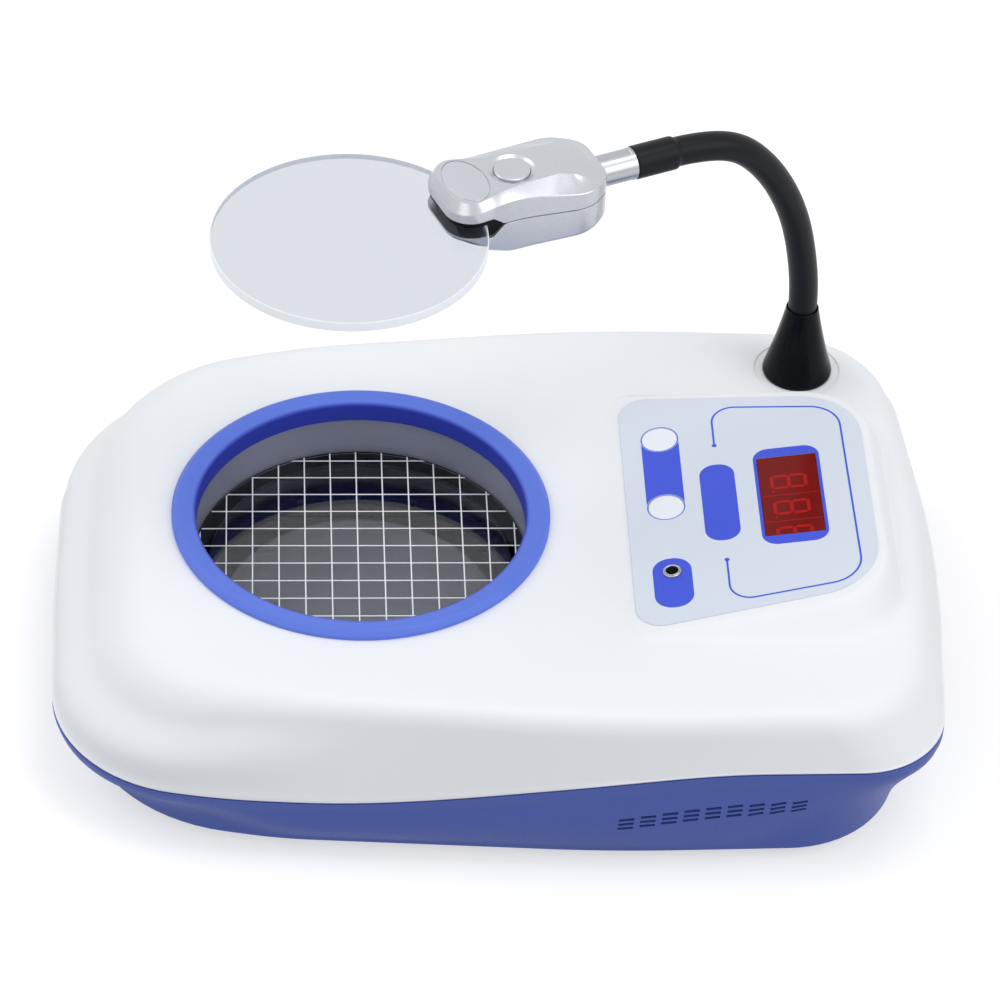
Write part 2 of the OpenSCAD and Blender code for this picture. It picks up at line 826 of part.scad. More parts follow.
// The rocker's profile has its lower half standing out and its upper half pressed in
module power_rocker() {
    half = rocker_h / 2 - rocker_ease;
    color("#2A2C33") at_rear(switch_x) rotate([0, 90, 0]) {
        linear_extrude(rocker_w - 2 * free_gap, center = true) polygon([[-rocker_in, -half], [-rocker_mid, 0],
            [-rocker_out, half], [rocker_low, half / 2], [rocker_low, -half / 2]]);
        cylinder(r = pivot_r, h = rocker_w + frame_wall - 2 * touch, center = true);
    }
}

// Mains supply
module supply_posts() {
    for (x = [-1, 1], y = [-1, 1])
        translate([x * (supply_w / 2 - post_in), supply_y + y * (supply_h / 2 - post_in), 0]) children();
}

module supply_board() {
    color(green) difference() {
        translate([0, supply_y, 0]) block(supply_w, supply_h, supply_z, supply_z + board_t);
        supply_posts() hole(screw_hole_r, supply_z - cut, supply_z + board_t + cut);
    }
}

module transformer() {
    color("#B9A36A") translate([coil_x, supply_y, supply_z + board_t + touch]) {
        block(core[0], core[1], (coil[2] - core[2]) / 2, (coil[2] + core[2]) / 2);
        block(coil[0], coil[1], 0, coil[2]);
    }
}

module supply_screws() {
    color(silver) supply_posts() translate([0, 0, supply_z + board_t + touch]) rotate([180, 0, 0])
        screw(board_t + screw_bite - cut);
}

// Gooseneck
module at_neck() {
    translate([neck_x, neck_y, deck_height]) rotate(-arm_heading) children();
}

function heading_at(i) = sum_to(neck_bends, i);
function neck_point(i) = i == 0 ? [0, cone_height] :
    let (b = neck_bends[i - 1], a = heading_at(i - 1), rad = b * PI / 180,
        chord = b == 0 ? neck_step : 2 * neck_step / rad * sin(b / 2))
    neck_point(i - 1) + chord * [sin(a + b / 2), cos(a + b / 2)];

// Moves to the start of a bending length, with +Z along the neck
module at_length(i) {
    at_neck() translate([neck_path[i][0], 0, neck_path[i][1]]) rotate([0, neck_turn[i], 0]) children();
}

// Everything past the end of a length except the ball that the next length turns on
module past_ball() {
    difference() {
        block(6 * ball_r, 6 * ball_r, 0, 3 * ball_r);
        sphere(r = ball_r);
    }
}

// A curved length: a slice of a ring that ends in a ball and begins in a cup
module neck_length(i) {
    r = i < thick_from ? neck_r : neck_end_r;
    arc_r = neck_step * 180 / PI / neck_bends[i];
    span = neck_bends[i] + 2 * ball_r * 180 / PI / arc_r;
    color(black) difference() {
        at_length(i) translate([arc_r, 0, 0]) rotate([90, 0, 0]) rotate(180 - span)
            rotate_extrude(angle = span) translate([arc_r, 0]) circle(r = r);
        at_length(i) sphere(r = ball_r + free_gap);
        at_length(i + 1) past_ball();
    }
}

module neck_cone() {
    seat = touch - seat_deep;
    color(black) at_neck() difference() {
        rotate_extrude() polygon(concat([[0, -stub_len], [stub_r, -stub_len], [stub_r, seat]],
            corner_arc([stub_r, seat], [cone_r, seat], [cone_top_r, cone_height], 2, 5),
            [[cone_top_r, cone_height], [neck_r, cone_height + slide_gap], [neck_r, cone_height + 2 * ball_r],
            [0, cone_height + 2 * ball_r]]));
        translate([0, 0, cone_height + slide_gap]) past_ball();
    }
}

module neck_nut() {
    color(silver) at_neck() translate([0, 0, -wall - nut_t - touch]) difference() {
        cylinder(r = nut_r, h = nut_t, $fn = 6);
        hole(stub_r + touch, -cut, nut_t + cut);
    }
}

module neck_1() {
    neck_length(0);
}

module neck_2() {
    neck_length(1);
}

module neck_3() {
    neck_length(2);
}

module neck_4() {
    neck_length(3);
}

module neck_5() {
    neck_length(4);
}

module neck_6() {
    neck_length(5);
}

module neck_7() {
    neck_length(6);
}

// The last length is straight and carries the ferrule
module neck_8() {
    color(black) at_length(7) difference() {
        cylinder(r = neck_end_r, h = neck_step);
        sphere(r = ball_r + free_gap);
    }
}

// Magnifier head: x runs from the lens centre back to the neck, z is up from the arm's axis
module at_head() {
    at_neck() translate([arm_reach, 0, arm_rise]) rotate(180) children();
}

module ferrule_bar(r, length) {
    translate([head_rear - ferrule_in, 0, 0]) rotate([0, 90, 0]) cylinder(r = r, h = length);
}

module ferrule() {
    color(silver) at_head() ferrule_bar(ferrule_r, ferrule_in + ferrule_show - touch);
}

function head_plan(in) =
    let (w = head_width / 2 - in, soft = nose_r - in / 2,
        side = [[head_rear - in, w - tail_taper, soft], [head_rear - bulge_s, w + 0.7, bulge_r - in],
            [head_front + waist_s, w - waist_in, waist_r], [head_front + in, w - nose_taper, soft]])
    rounded(concat([for (v = reversed(side)) [v[0], -v[1], v[2]]], side), 6);

module head_screw_places() {
    for (y = [-1, 1]) translate([head_screw_s, y * head_screw_y, 0]) children();
}

// The scoop that lowers the front of the head to a flat
module head_scoop() {
    rise = [flat_end + scoop_run, head_top_h + cut];
    sweep = corner_arc([head_front, flat_h], [flat_end, flat_h], rise, scoop_r, 6);
    rotate([90, 0, 0]) linear_extrude(2 * head_width, center = true)
        polygon(concat([[head_front - cut, flat_h]], sweep, [rise, [head_front - cut, rise[1]]]));
}

module head_top() {
    side = at_height(head_plan(0), head_top_h - head_bevel);
    edge = at_height(head_plan(0.3), head_top_h);
    color(silver) at_head() difference() {
        loft(concat([at_height(head_plan(0), touch)],
            soft_edge(side, edge, at_height(head_plan(head_bevel), head_top_h), 4)));
        head_scoop();
        translate([head_front - cut, -head_width, -cut])
            cube([gasket_len + cut, 2 * head_width, gasket_h + cut]);
        translate([button_s, 0, 0]) {
            block(light_l + 2 * free_gap, light_w + 2 * free_gap, 0, light_room);
            hole(button_r + free_gap, light_room - cut, head_top_h + cut);
            hole(button_r + button_ease, flat_h - button_dish, head_top_h + cut);
        }
        inlay_pocket(slide_gap, flat_h - inlay_t - touch, head_top_h);
        head_screw_places() hole(tap_r, -cut, screw_bite);
        ferrule_bar(ferrule_r + touch, 3 * ferrule_in);
    }
}

module inlay_pocket(grow, low, high) {
    translate([inlay_s, 0, low]) linear_extrude(high - low)
        scale([(inlay_l / 2 + grow) / (inlay_w / 2 + grow), 1]) circle(r = inlay_w / 2 + grow, $fn = 48);
}

module head_inlay() {
    color("#BFC3CB") at_head() inlay_pocket(0, flat_h - inlay_t, flat_h);
}

module diode_places() {
    for (y = [-1, 1]) translate([button_s - diode_s, y * diode_y, 0]) children();
}

module head_lower() {
    low = -head_low_h;
    color(silver) at_head() difference() {
        loft(concat(soft_edge(at_height(head_plan(5), low), at_height(head_plan(0.8), low),
            at_height(head_plan(0.4), low + 4), 3), [at_height(head_plan(0), -touch)]));
        translate([chin_s, 0, low]) rotate([0, -chin_slope, 0])
            translate([0, -head_width, -head_length]) cube([head_length, 2 * head_width, head_length]);
        hole(lens_d / 2 + free_gap, -lens_rim_t - touch, cut, $fn = 128);
        translate([0, 0, -lens_rim_t]) mirror([0, 0, 1]) crown_room();
        diode_places() hole(diode_r + slide_gap, low - cut, cut);
        head_screw_places() {
            hole(screw_hole_r, low - cut, cut);
            hole(screw_head_r + free_gap, low - cut, head_screw_z);
        }
        ferrule_bar(ferrule_r + touch, 3 * ferrule_in);
    }
}

module head_button() {
    color("#D3D6DC") at_head() translate([button_s, 0, 0]) {
        hole(button_r, flat_h - button_t, flat_h + button_show);
        hole(switch_stem_r, light_top + light_switch_h + button_travel + touch, flat_h - button_t + touch);
    }
}

module lens_gasket() {
    color(black) at_head() difference() {
        translate([0, 0, touch]) linear_extrude(gasket_h - 2 * touch) polygon(head_plan(gasket_in));
        translate([head_front + gasket_len - slide_gap, -head_width, -cut])
            cube([head_length, 2 * head_width, gasket_h + 2 * cut]);
        crown_room();
    }
}

// Room for a lens face that swells beyond its rim
module crown_room() {
    swell = lens_crown * (1 - pow(2 * head_front / lens_d, 2));
    rotate_extrude($fn = 128) polygon([[0, -cut], [lens_d / 2, -cut], [lens_d / 2, touch],
        [head_front, swell + slide_gap], [0, lens_crown + slide_gap]]);
}

function lens_face(sign) =
    let (half = lens_d / 2, ball = (half * half + lens_crown * lens_crown) / (2 * lens_crown),
        w = asin(half / ball))
    [for (k = [0:12]) let (a = w * k / 12)
        [ball * sin(a), sign * (lens_rim_t / 2 + lens_crown - ball * (1 - cos(a)))]];

module lens() {
    color([0.85, 0.9, 0.95, 0.4]) at_head() translate([0, 0, -lens_drop]) rotate_extrude($fn = 128)
        polygon(concat(reversed(lens_face(1)), lens_face(-1)));
}

module head_light_board() {
    color(green) at_head() translate([button_s, 0, 0])
        block(light_l, light_w, light_top - board_t, light_top);
    color(black) at_head() translate([button_s, 0, light_top]) hole(light_switch_r, -touch, light_switch_h);
}

module head_diodes() {
    color("#F4F2DC") at_head() diode_places() hole(diode_r, -diode_h, light_top - board_t - touch);
}

module head_screws() {
    color(silver) at_head() head_screw_places() translate([0, 0, head_screw_z - touch])
        screw(screw_bite - cut - head_screw_z);
}

base_tray();
rubber_feet();
top_cover();
cover_screws();
dish_ring();
well_cup();
grid_glass();
grid_print();
lamp_chamber();
lamp_strip();
lamp_diodes();
background_disc();
control_panel();
check_key();
reset_key();
display_window();
display_module();
control_board();
key_switches();
probe_jack();
jack_nut();
board_screws();
power_inlet();
switch_frame();
power_rocker();
supply_board();
transformer();
supply_screws();
neck_cone();
neck_nut();
neck_1();
neck_2();
neck_3();
neck_4();
neck_5();
neck_6();
neck_7();
neck_8();
ferrule();
head_top();
head_lower();
head_inlay();
head_button();
lens_gasket();
lens();
head_light_board();
head_diodes();
head_screws();
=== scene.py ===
import math

import bmesh
import bpy
import numpy as np
from mathutils import Matrix, Vector
from mathutils.geometry import delaunay_2d_cdt


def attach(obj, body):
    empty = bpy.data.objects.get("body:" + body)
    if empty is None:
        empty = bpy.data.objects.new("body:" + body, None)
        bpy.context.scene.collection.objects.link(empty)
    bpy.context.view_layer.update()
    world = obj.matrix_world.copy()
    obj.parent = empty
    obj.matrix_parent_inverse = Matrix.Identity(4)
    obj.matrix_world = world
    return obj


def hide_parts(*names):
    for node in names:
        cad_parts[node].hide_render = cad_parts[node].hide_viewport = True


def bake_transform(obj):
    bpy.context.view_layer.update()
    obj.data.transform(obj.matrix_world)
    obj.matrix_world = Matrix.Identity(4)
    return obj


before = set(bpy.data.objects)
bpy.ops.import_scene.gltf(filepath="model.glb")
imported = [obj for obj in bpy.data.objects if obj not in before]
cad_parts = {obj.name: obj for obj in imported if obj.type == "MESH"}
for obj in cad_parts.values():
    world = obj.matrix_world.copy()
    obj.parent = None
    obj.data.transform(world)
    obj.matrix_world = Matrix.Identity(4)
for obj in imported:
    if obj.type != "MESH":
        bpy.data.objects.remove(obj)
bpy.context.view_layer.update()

mm = 0.001


# Camera: solved from the counting grid and the panel's straight lines
view = {
    "eye": (1.34992, -0.08979, 1.23326),
    "forward": (-0.759042, 0.051006, -0.649041),
    "right": (0.039423, 0.998698, 0.03238),
    "lens": 170.35,
}


def makeCamera():
    camera = bpy.data.objects.new("viewCamera", bpy.data.cameras.new("viewCamera"))
    bpy.context.scene.collection.objects.link(camera)
    back, right = -Vector(view["forward"]).normalized(), Vector(view["right"]).normalized()
    up = back.cross(right)
    camera.matrix_world = Matrix.Translation(view["eye"]) @ Matrix((right, up, back)).transposed().to_4x4()
    camera.data.lens = view["lens"]
    camera.data.sensor_width = 36
    camera.data.clip_end = 20
    bpy.context.scene.camera = camera


makeCamera()
print("camera set")


# Colours are sRGB hex values, turned to linear here
def linear(hexValue):
    c = np.array([int(hexValue[k:k + 2], 16) for k in (1, 3, 5)]) / 255
    return (*np.where(c <= 0.04045, c / 12.92, ((c + 0.055) / 1.055) ** 2.4).tolist(), 1.0)


# Adds a shader node; an input that is another node's output becomes a link
def addNode(tree, kind, inputs, **settings):
    node = tree.nodes.new(kind)
    for key, value in settings.items():
        setattr(node, key, value)
    for key, value in inputs.items():
        if isinstance(value, bpy.types.NodeSocket):
            tree.links.new(value, node.inputs[key])
        else:
            node.inputs[key].default_value = value
    return node


# A finish: tone clouds between two colours, a fine grain in the bump, and a gloss that varies a little.
# toneMm and grainMm are the sizes of a cloud and a grain; specular and sockets go on the shader itself.
def finish(name, colours, rough, toneMm, grainMm, bump, specular=0.5, **sockets):
    material = bpy.data.materials.new(name)
    material.use_nodes = True
    tree = material.node_tree
    tree.nodes.clear()
    place = addNode(tree, "ShaderNodeTexCoord", {}).outputs["Object"]
    cloud = addNode(tree, "ShaderNodeTexNoise", {"Vector": place, "Scale": 1 / (toneMm * mm), "Detail": 3})
    grain = addNode(tree, "ShaderNodeTexNoise", {"Vector": place, "Scale": 1 / (grainMm * mm), "Detail": 2})
    # the Mix node's colour sockets share their names with its number sockets, so they are given by place
    dark, light = map(linear, colours)
    tint = addNode(tree, "ShaderNodeMix", {0: cloud.outputs["Fac"], 6: dark, 7: light}, data_type="RGBA")
    gloss = addNode(tree, "ShaderNodeMapRange", {"Value": grain.outputs["Fac"], "From Min": 0.3,
                                                 "From Max": 0.7, "To Min": rough[0], "To Max": rough[1]})
    relief = addNode(tree, "ShaderNodeBump", {"Height": grain.outputs["Fac"], "Strength": bump,
                                              "Distance": grainMm * mm})
    shader = addNode(tree, "ShaderNodeBsdfPrincipled", {
        "Base Color": tint.outputs[2], "Roughness": gloss.outputs["Result"],
        "Normal": relief.outputs["Normal"], "Specular IOR Level": specular, **sockets})
    addNode(tree, "ShaderNodeOutputMaterial", {"Surface": shader.outputs["BSDF"]})
    return material


finishes = {
    # moulded ABS, spark-eroded tool: an even white with a soft sheen
    "coverWhite": finish("abs_moulded_white", ("#EBEEF3", "#F0F3F7"), (0.42, 0.54), 70, 0.9, 0.02, 0.35),
    # moulded ABS, coarser tool: satin blue, a little greyed by its grain
    "trayBlue": finish("abs_moulded_blue", ("#465AA8", "#4A5FAE"), (0.42, 0.56), 60, 0.9, 0.04, 0.35),
    # satin painted liner: grey with a metallic cast
    "linerGrey": finish("painted_grey_liner", ("#9499AC", "#9BA0B3"), (0.34, 0.4), 30, 0.7, 0.008,
                        Metallic=0.4),
    # float glass: clear, with a faint cool cast
    "gridGlass": finish("float_glass_grid_plate", ("#D9DDE3", "#DFE3E8"), (0.0, 0.004), 50, 3, 0.0, 0.22,
                        **{"Transmission Weight": 1.0, "IOR": 1.4}),
    # ground and polished lens glass: pale and clear, with an IOR below real glass to keep low views clear
    "lensGlass": finish("optical_glass_lens", ("#D0D4DA", "#D5D9DE"), (0.0, 0.003), 60, 4, 0.0,
                        **{"Transmission Weight": 1.0, "IOR": 1.3}),
    # the lens's ground edge: fine frosting, with a painted glow (a weak emission) that lights its inner face,
    # which the glass would leave dark
    "lensEdgePaintedGlow": finish("optical_glass_ground_edge_painted_glow", ("#C4C8CE", "#CBCFD5"), (0.4, 0.5), 8, 0.5, 0.02, 0.2,
                       **{"Emission Color": linear("#E9EDF4"), "Emission Strength": 0.38}),
    # screen ink: a chalky white line
    "gridInk": finish("screen_ink_white", ("#F3F4F6", "#FAFBFC"), (0.5, 0.62), 12, 0.6, 0.03),
    "chamberDark": finish("abs_matt_chamber", ("#1B1D26", "#22242F"), (0.45, 0.6), 25, 0.9, 0.04, 0.3),
    # membrane keypad film: matt print under a fine orange-peel
    "sheetFilm": finish("membrane_film_pale_blue", ("#D5DDEB", "#DAE2EE"), (0.44, 0.52), 45, 0.5, 0.02, 0.3),
    "sheetInk": finish("membrane_film_blue_ink", ("#4257D8", "#465BDC"), (0.42, 0.5), 25, 0.5, 0.02, 0.25),
    "keyFilm": finish("membrane_key_white", ("#E9EEF7", "#EFF3FA"), (0.38, 0.46), 10, 0.5, 0.02, 0.3),
    # cast acrylic filter: deep red under a polished face
    "windowRed": finish("cast_acrylic_red_filter", ("#72110F", "#7B1412"), (0.16, 0.22), 18, 2, 0.0, 0.12),
    "digitRed": finish("display_segment_red", ("#A81913", "#B01D16"), (0.2, 0.28), 6, 0.6, 0.02, 0.12),
    # rubber sleeve: soft satin black
    "neckRubber": finish("rubber_sleeve_black", ("#090B10", "#0D0F15"), (0.36, 0.42), 20, 0.5, 0.015, 0.19),
    # polished plastic: deep black with a clear gloss
    "coneBlack": finish("abs_polished_black", ("#06080C", "#0A0C11"), (0.1, 0.13), 25, 3, 0.002, 0.1),
    "gasketRubber": finish("rubber_gasket_black", ("#07080B", "#0A0B0F"), (0.3, 0.4), 8, 0.5, 0.01, 0.12),
    # silver metallic lacquer: fine flake under a satin clear coat
    "headSilver": finish("metallic_lacquer_silver", ("#C2C5CB", "#C7CAD0"), (0.27, 0.3), 20, 0.35, 0.003,
                         Metallic=0.8),
    "inlaySilver": finish("metallic_lacquer_inlay", ("#C6C9D0", "#CBCED5"), (0.26, 0.29), 15, 0.35, 0.003,
                          Metallic=0.8),
    # satin chrome on turned brass: a bright mirror, softened a little
    "chromeSatin": finish("chrome_satin_turned", ("#B0B2B8", "#B7B9BF"), (0.24, 0.3), 6, 0.4, 0.006,
                          Metallic=1.0),
    "zincSteel": finish("zinc_plated_steel", ("#A9ABAF", "#B9BABC"), (0.28, 0.42), 4, 0.4, 0.05,
                        Metallic=1.0),
    "boardGreen": finish("solder_mask_green", ("#2A6A48", "#327452"), (0.3, 0.42), 9, 1.2, 0.05),
    # smoked resin: the unlit diodes stay dark in the chamber's wall
    "lampResin": finish("cast_resin_smoked", ("#2B2D36", "#33353F"), (0.14, 0.22), 3, 0.8, 0.01, 0.3),
    "diodeResin": finish("cast_resin_clear_diode", ("#EFECD6", "#F5F2E0"), (0.12, 0.2), 3, 0.8, 0.01),
    "moduleDark": finish("display_block_dark", ("#331311", "#3D1715"), (0.45, 0.55), 6, 0.8, 0.04),
    "blackAbs": finish("abs_matt_black", ("#17181C", "#1E1F24"), (0.42, 0.55), 15, 0.6, 0.05, 0.3),
    "coreLacquer": finish("lacquered_winding", ("#A8905A", "#B79F69"), (0.35, 0.5), 5, 0.9, 0.12),
    "footRubber": finish("rubber_foot_dark", ("#2E2F34", "#36373D"), (0.6, 0.72), 7, 0.6, 0.08),
}
print("finishes made:", len(finishes))


# Turns a finish to another colour over a run of the distance from an axis or a plane through a centre
def banded(material, colour, start, end, centre, scale):
    tree = material.node_tree
    shader = next(n for n in tree.nodes if n.type == "BSDF_PRINCIPLED")
    place = addNode(tree, "ShaderNodeTexCoord", {}).outputs["Object"]
    away = addNode(tree, "ShaderNodeVectorMath", {0: place, 1: centre}, operation="SUBTRACT")
    away = addNode(tree, "ShaderNodeMapping", {"Vector": away.outputs[0], "Scale": scale}).outputs["Vector"]
    away = addNode(tree, "ShaderNodeVectorMath", {0: away}, operation="LENGTH").outputs["Value"]
    band = addNode(tree, "ShaderNodeMapRange", {"Value": away, "From Min": start * mm, "From Max": end * mm})
    plain = shader.inputs["Base Color"].links[0].from_socket
    tint = addNode(tree, "ShaderNodeMix", {0: band.outputs["Result"], 6: plain, 7: linear(colour)},
                   data_type="RGBA")
    tree.links.new(tint.outputs[2], shader.inputs["Base Color"])
    return material


# A smooth step from 0 to 1: three times the square less twice the cube
def smooth(u):
    c = np.clip(u, 0, 1)
    return c * c * (3 - 2 * c)


# The arc of radius r that rounds the corner a, b, c, as steps + 1 points
def cornerArc(a, b, c, r, steps):
    d, e = (b - a) / np.linalg.norm(b - a), (c - b) / np.linalg.norm(c - b)
    bend = math.acos(float(np.clip(d @ e, -1, 1)))
    side = 1 if d[0] * e[1] - d[1] * e[0] > 0 else -1
    first = b - d * r * math.tan(bend / 2)
    centre = first + side * r * np.array([-d[1], d[0]])
    w = math.atan2(*(first - centre)[::-1]) + side * bend * np.linspace(0, 1, steps + 1)
    return centre + r * np.stack([np.cos(w), np.sin(w)], 1)


# A closed outline of corners (x, y, radius), with some points between one arc and the next
def rounded(corners, steps, between=0):
    q = np.array(corners, float)
    n = len(q)
    arcs = [cornerArc(q[i - 1, :2], q[i, :2], q[(i + 1) % n, :2], q[i, 2], steps) for i in range(n)]
    t = np.linspace(0, 1, between + 2)[1:-1, None]
    runs = [arcs[i][-1] * (1 - t) + arcs[(i + 1) % n][0] * t for i in range(n)]
    return np.concatenate([part for pair in zip(arcs, runs) for part in pair])


def circle(x, y, r, count):
    w = np.linspace(0, 2 * math.pi, count, endpoint=False)
    return np.stack([x + r * np.cos(w), y + r * np.sin(w)], 1)


# The outline moved inwards by a distance along the mean normal of the two sides at each point
def insetOutline(flat, distance):
    ahead, behind = np.roll(flat, -1, 0) - flat, flat - np.roll(flat, 1, 0)
    run = ahead / np.maximum(np.linalg.norm(ahead, axis=1, keepdims=True), 1e-9)
    run = run + behind / np.maximum(np.linalg.norm(behind, axis=1, keepdims=True), 1e-9)
    run = run / np.maximum(np.linalg.norm(run, axis=1, keepdims=True), 1e-9)
    return flat + distance * np.stack([-run[:, 1], run[:, 0]], 1)


# True where a point lies inside a closed outline, by counting crossings of a ray
def inside(points, outline):
    x, y = points[:, :1], points[:, 1:2]
    x0, y0 = outline[:, 0], outline[:, 1]
    x1, y1 = np.roll(x0, -1), np.roll(y0, -1)
    span = (y0 > y) != (y1 > y)
    with np.errstate(divide="ignore", invalid="ignore"):
        meet = x < (x1 - x0) * (y - y0) / (y1 - y0) + x0
    return (span & meet).sum(1) % 2 == 1


# Gives the points of a flat outline their height
def lift(flat, z):
    return np.column_stack([flat, np.broadcast_to(z, len(flat))])


# Patches are (points, faces), in millimetres. Rows of equal length become a grid of four-sided faces,
# which face outwards where the columns run anticlockwise and the rows climb.
def gridPatch(rows, closeColumns=True, closeRows=False):
    block = np.stack(rows)
    m, n = block.shape[:2]
    j = np.arange(m if closeRows else m - 1)[:, None]
    i = np.arange(n if closeColumns else n - 1)[None, :]
    a, b = j * n + i, j * n + (i + 1) % n
    up = ((j + 1) % m) * n
    faces = np.stack([a, b, up + (i + 1) % n, up + i], -1).reshape(-1, 4)
    return block.reshape(-1, 3), faces


# A profile of (radius, height) turned round the z axis
def lathePatch(profile, count=96, closed=False):
    w = np.linspace(0, 2 * math.pi, count, endpoint=False)
    p = np.asarray(profile, float)
    heights = np.broadcast_to(p[:, 1:], (len(p), count))
    block = np.stack([p[:, :1] * np.cos(w), p[:, :1] * np.sin(w), heights], -1)
    return gridPatch(list(block), True, closed)


# The area inside an outline and outside its holes, as triangles at heights given by a function of x and y
def fillPatch(outline, holes, height, spacing=0.0, facing=1):
    loops = [outline, *holes]
    coords = np.concatenate(loops)
    first = np.cumsum([0] + [len(loop) for loop in loops])
    edges = np.concatenate([np.stack([np.arange(a, b), np.r_[np.arange(a + 1, b), a]], 1)
                            for a, b in zip(first[:-1], first[1:])])
    if spacing:
        low, high = outline.min(0), outline.max(0)
        gx, gy = np.meshgrid(np.arange(low[0], high[0], spacing), np.arange(low[1], high[1], spacing))
        gx = gx + (np.arange(len(gx)) % 2)[:, None] * spacing / 2
        lattice = np.column_stack([gx.ravel(), gy.ravel()])
        keep = inside(lattice, outline)
        for hole in holes:
            keep &= ~inside(lattice, hole)
        lattice = lattice[keep]
        near = np.linalg.norm(lattice[:, None] - coords[None], axis=2).min(1)
        coords = np.concatenate([coords, lattice[near > 0.55 * spacing]])
    verts, _, tris, *_ = delaunay_2d_cdt(list(map(Vector, coords.tolist())), edges.tolist(), [], 0, 1e-6)
    flat, tris = np.array(verts, float), np.array(tris)
    middle = flat[tris].mean(1)
    keep = inside(middle, outline)
    for hole in holes:
        keep &= ~inside(middle, hole)
    tris = tris[keep]
    d, e = flat[tris[:, 1]] - flat[tris[:, 0]], flat[tris[:, 2]] - flat[tris[:, 0]]
    wrong = (d[:, 0] * e[:, 1] - d[:, 1] * e[:, 0]) * facing < 0
    tris[wrong] = tris[wrong][:, ::-1]
    return np.column_stack([flat, height(flat[:, 0], flat[:, 1])]), tris


def flatFill(outline, z, holes=(), facing=1):
    return fillPatch(outline, list(holes), lambda x, y: np.full(len(x), z), facing=facing)


# A flat plate: caps between outline and holes, upright walls, and a bevel round the top edge
def platePatches(outline, holes, low, high, bevel=0.0):
    top = insetOutline(outline, bevel) if bevel else outline
    rows = [lift(outline, low), lift(outline, high - bevel)] + ([lift(top, high)] if bevel else [])
    return [gridPatch(rows), flatFill(top, high, holes), flatFill(outline, low, holes, -1),
            *[gridPatch([lift(hole, high), lift(hole, low)]) for hole in holes]]


# Places points by an origin and, where they turn, three axes
def placed(patches, origin, axes=np.eye(3)):
    return [(np.asarray(points) @ np.array(axes) + np.array(origin), faces) for points, faces in patches]


# One mesh of all patches: points that fall together are welded, and edges past an angle in degrees are sharp
def meshOf(name, patches, sharp, weld=2e-6):
    first = np.cumsum([0] + [len(points) for points, _ in patches])
    points = np.concatenate([p for p, _ in patches]) * mm
    faces = [face for (_, f), start in zip(patches, first) for face in (f + start).tolist()]
    mesh = bpy.data.meshes.new(name)
    mesh.from_pydata(points.tolist(), [], faces)
    tidy = bmesh.new()
    tidy.from_mesh(mesh)
    bmesh.ops.remove_doubles(tidy, verts=tidy.verts, dist=weld)
    bmesh.ops.dissolve_degenerate(tidy, edges=tidy.edges, dist=weld)
    tidy.to_mesh(mesh)
    tidy.free()
    mesh.shade_smooth()
    mesh.set_sharp_from_angle(angle=math.radians(sharp))
    return mesh


# Puts a mesh into the scene as a piece that rides on a body; a piece given a bend rides on none and keeps its
# place baked into its points
def addPiece(mesh, body, finishName, replaced=(), bend=None):
    piece = bpy.data.objects.new(mesh.name, mesh)
    bpy.context.scene.collection.objects.link(piece)
    mesh.materials.append(finishes[finishName])
    if bend:
        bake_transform(piece)
    else:
        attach(piece, body)
    if replaced:
        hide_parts(*replaced)
    return piece


# Cuts closed shapes out of a mesh, one after another, and returns the result as a new mesh
def carved(mesh, cutters, sharp):
    block = bpy.data.objects.new("carving", mesh)
    bpy.context.scene.collection.objects.link(block)
    tools = []
    for k, patches in enumerate(cutters):
        tool = bpy.data.objects.new("cutter", meshOf("cutter", patches, sharp))
        bpy.context.scene.collection.objects.link(tool)
        step = block.modifiers.new("cut" + str(k), "BOOLEAN")
        step.operation, step.solver, step.object = "DIFFERENCE", "EXACT", tool
        tools.append(tool)
    graph = bpy.context.evaluated_depsgraph_get()
    result = bpy.data.meshes.new_from_object(block.evaluated_get(graph))
    result.name = mesh.name + "Carved"
    for thing in [block, *tools]:
        bpy.data.objects.remove(thing)
    result.shade_smooth()
    result.set_sharp_from_angle(angle=math.radians(sharp))
    return result


def boxPatches(low, high):
    (x0, y0, z0), (x1, y1, z1) = low, high
    ring = np.array([[x0, y0], [x1, y0], [x1, y1], [x0, y1]], float)
    return [gridPatch([lift(ring, z0), lift(ring, z1)]), flatFill(ring, z1), flatFill(ring, z0, facing=-1)]


def postPatches(x, y, r, low, high, count=48):
    return placed([lathePatch([(0, low), (r, low), (r, high), (0, high)], count)], (x, y, 0))


# Housing: outlines at the parting line, the deck and the floor, as half widths from front to rear
housing = {
    "halfLen": 168.25, "deck": 72.3, "wall": 2.6, "steps": 16, "between": 12, "wideY": 40, "sideBow": 600,
    "endBow": 500,
    "part": {"ends": (167.7, 168.25), "halves": (97, 109.2, 118.6, 117.4), "fore": (-102.25, 250),
             "radii": (56, 33), "bows": (2, 8.5), "shrink": 1},
    "top": {"ends": (143.25, 158.55), "halves": (92, 104.5, 115.4, 111), "fore": (-67.25, 400),
            "radii": (50, 42), "bows": (5, 8.5), "shrink": 0.5},
    "floor": {"ends": (157.5, 153.4), "halves": (91.4, 105.7, 113.4, 111.2), "fore": (-82.25, 180),
              "radii": (67.6, 43.5), "bows": (2, 8.5), "shrink": 1},
    "partHeights": (28.2, 48.2), "wave": (-76, 172), "soft": (-150, 90),
    "shoulders": (18, 8.5), "flatShare": 0.8, "wallShare": 0.62, "cheek": 4, "lipRound": 1.3,
    "rims": (1.5, 3.5), "rimStep": 0.9, "rimSoft": 3, "footHeight": 4, "floorSoft": 3, "partGap": 0.2,
    "lipEdge": (0.5, 0.3),
}


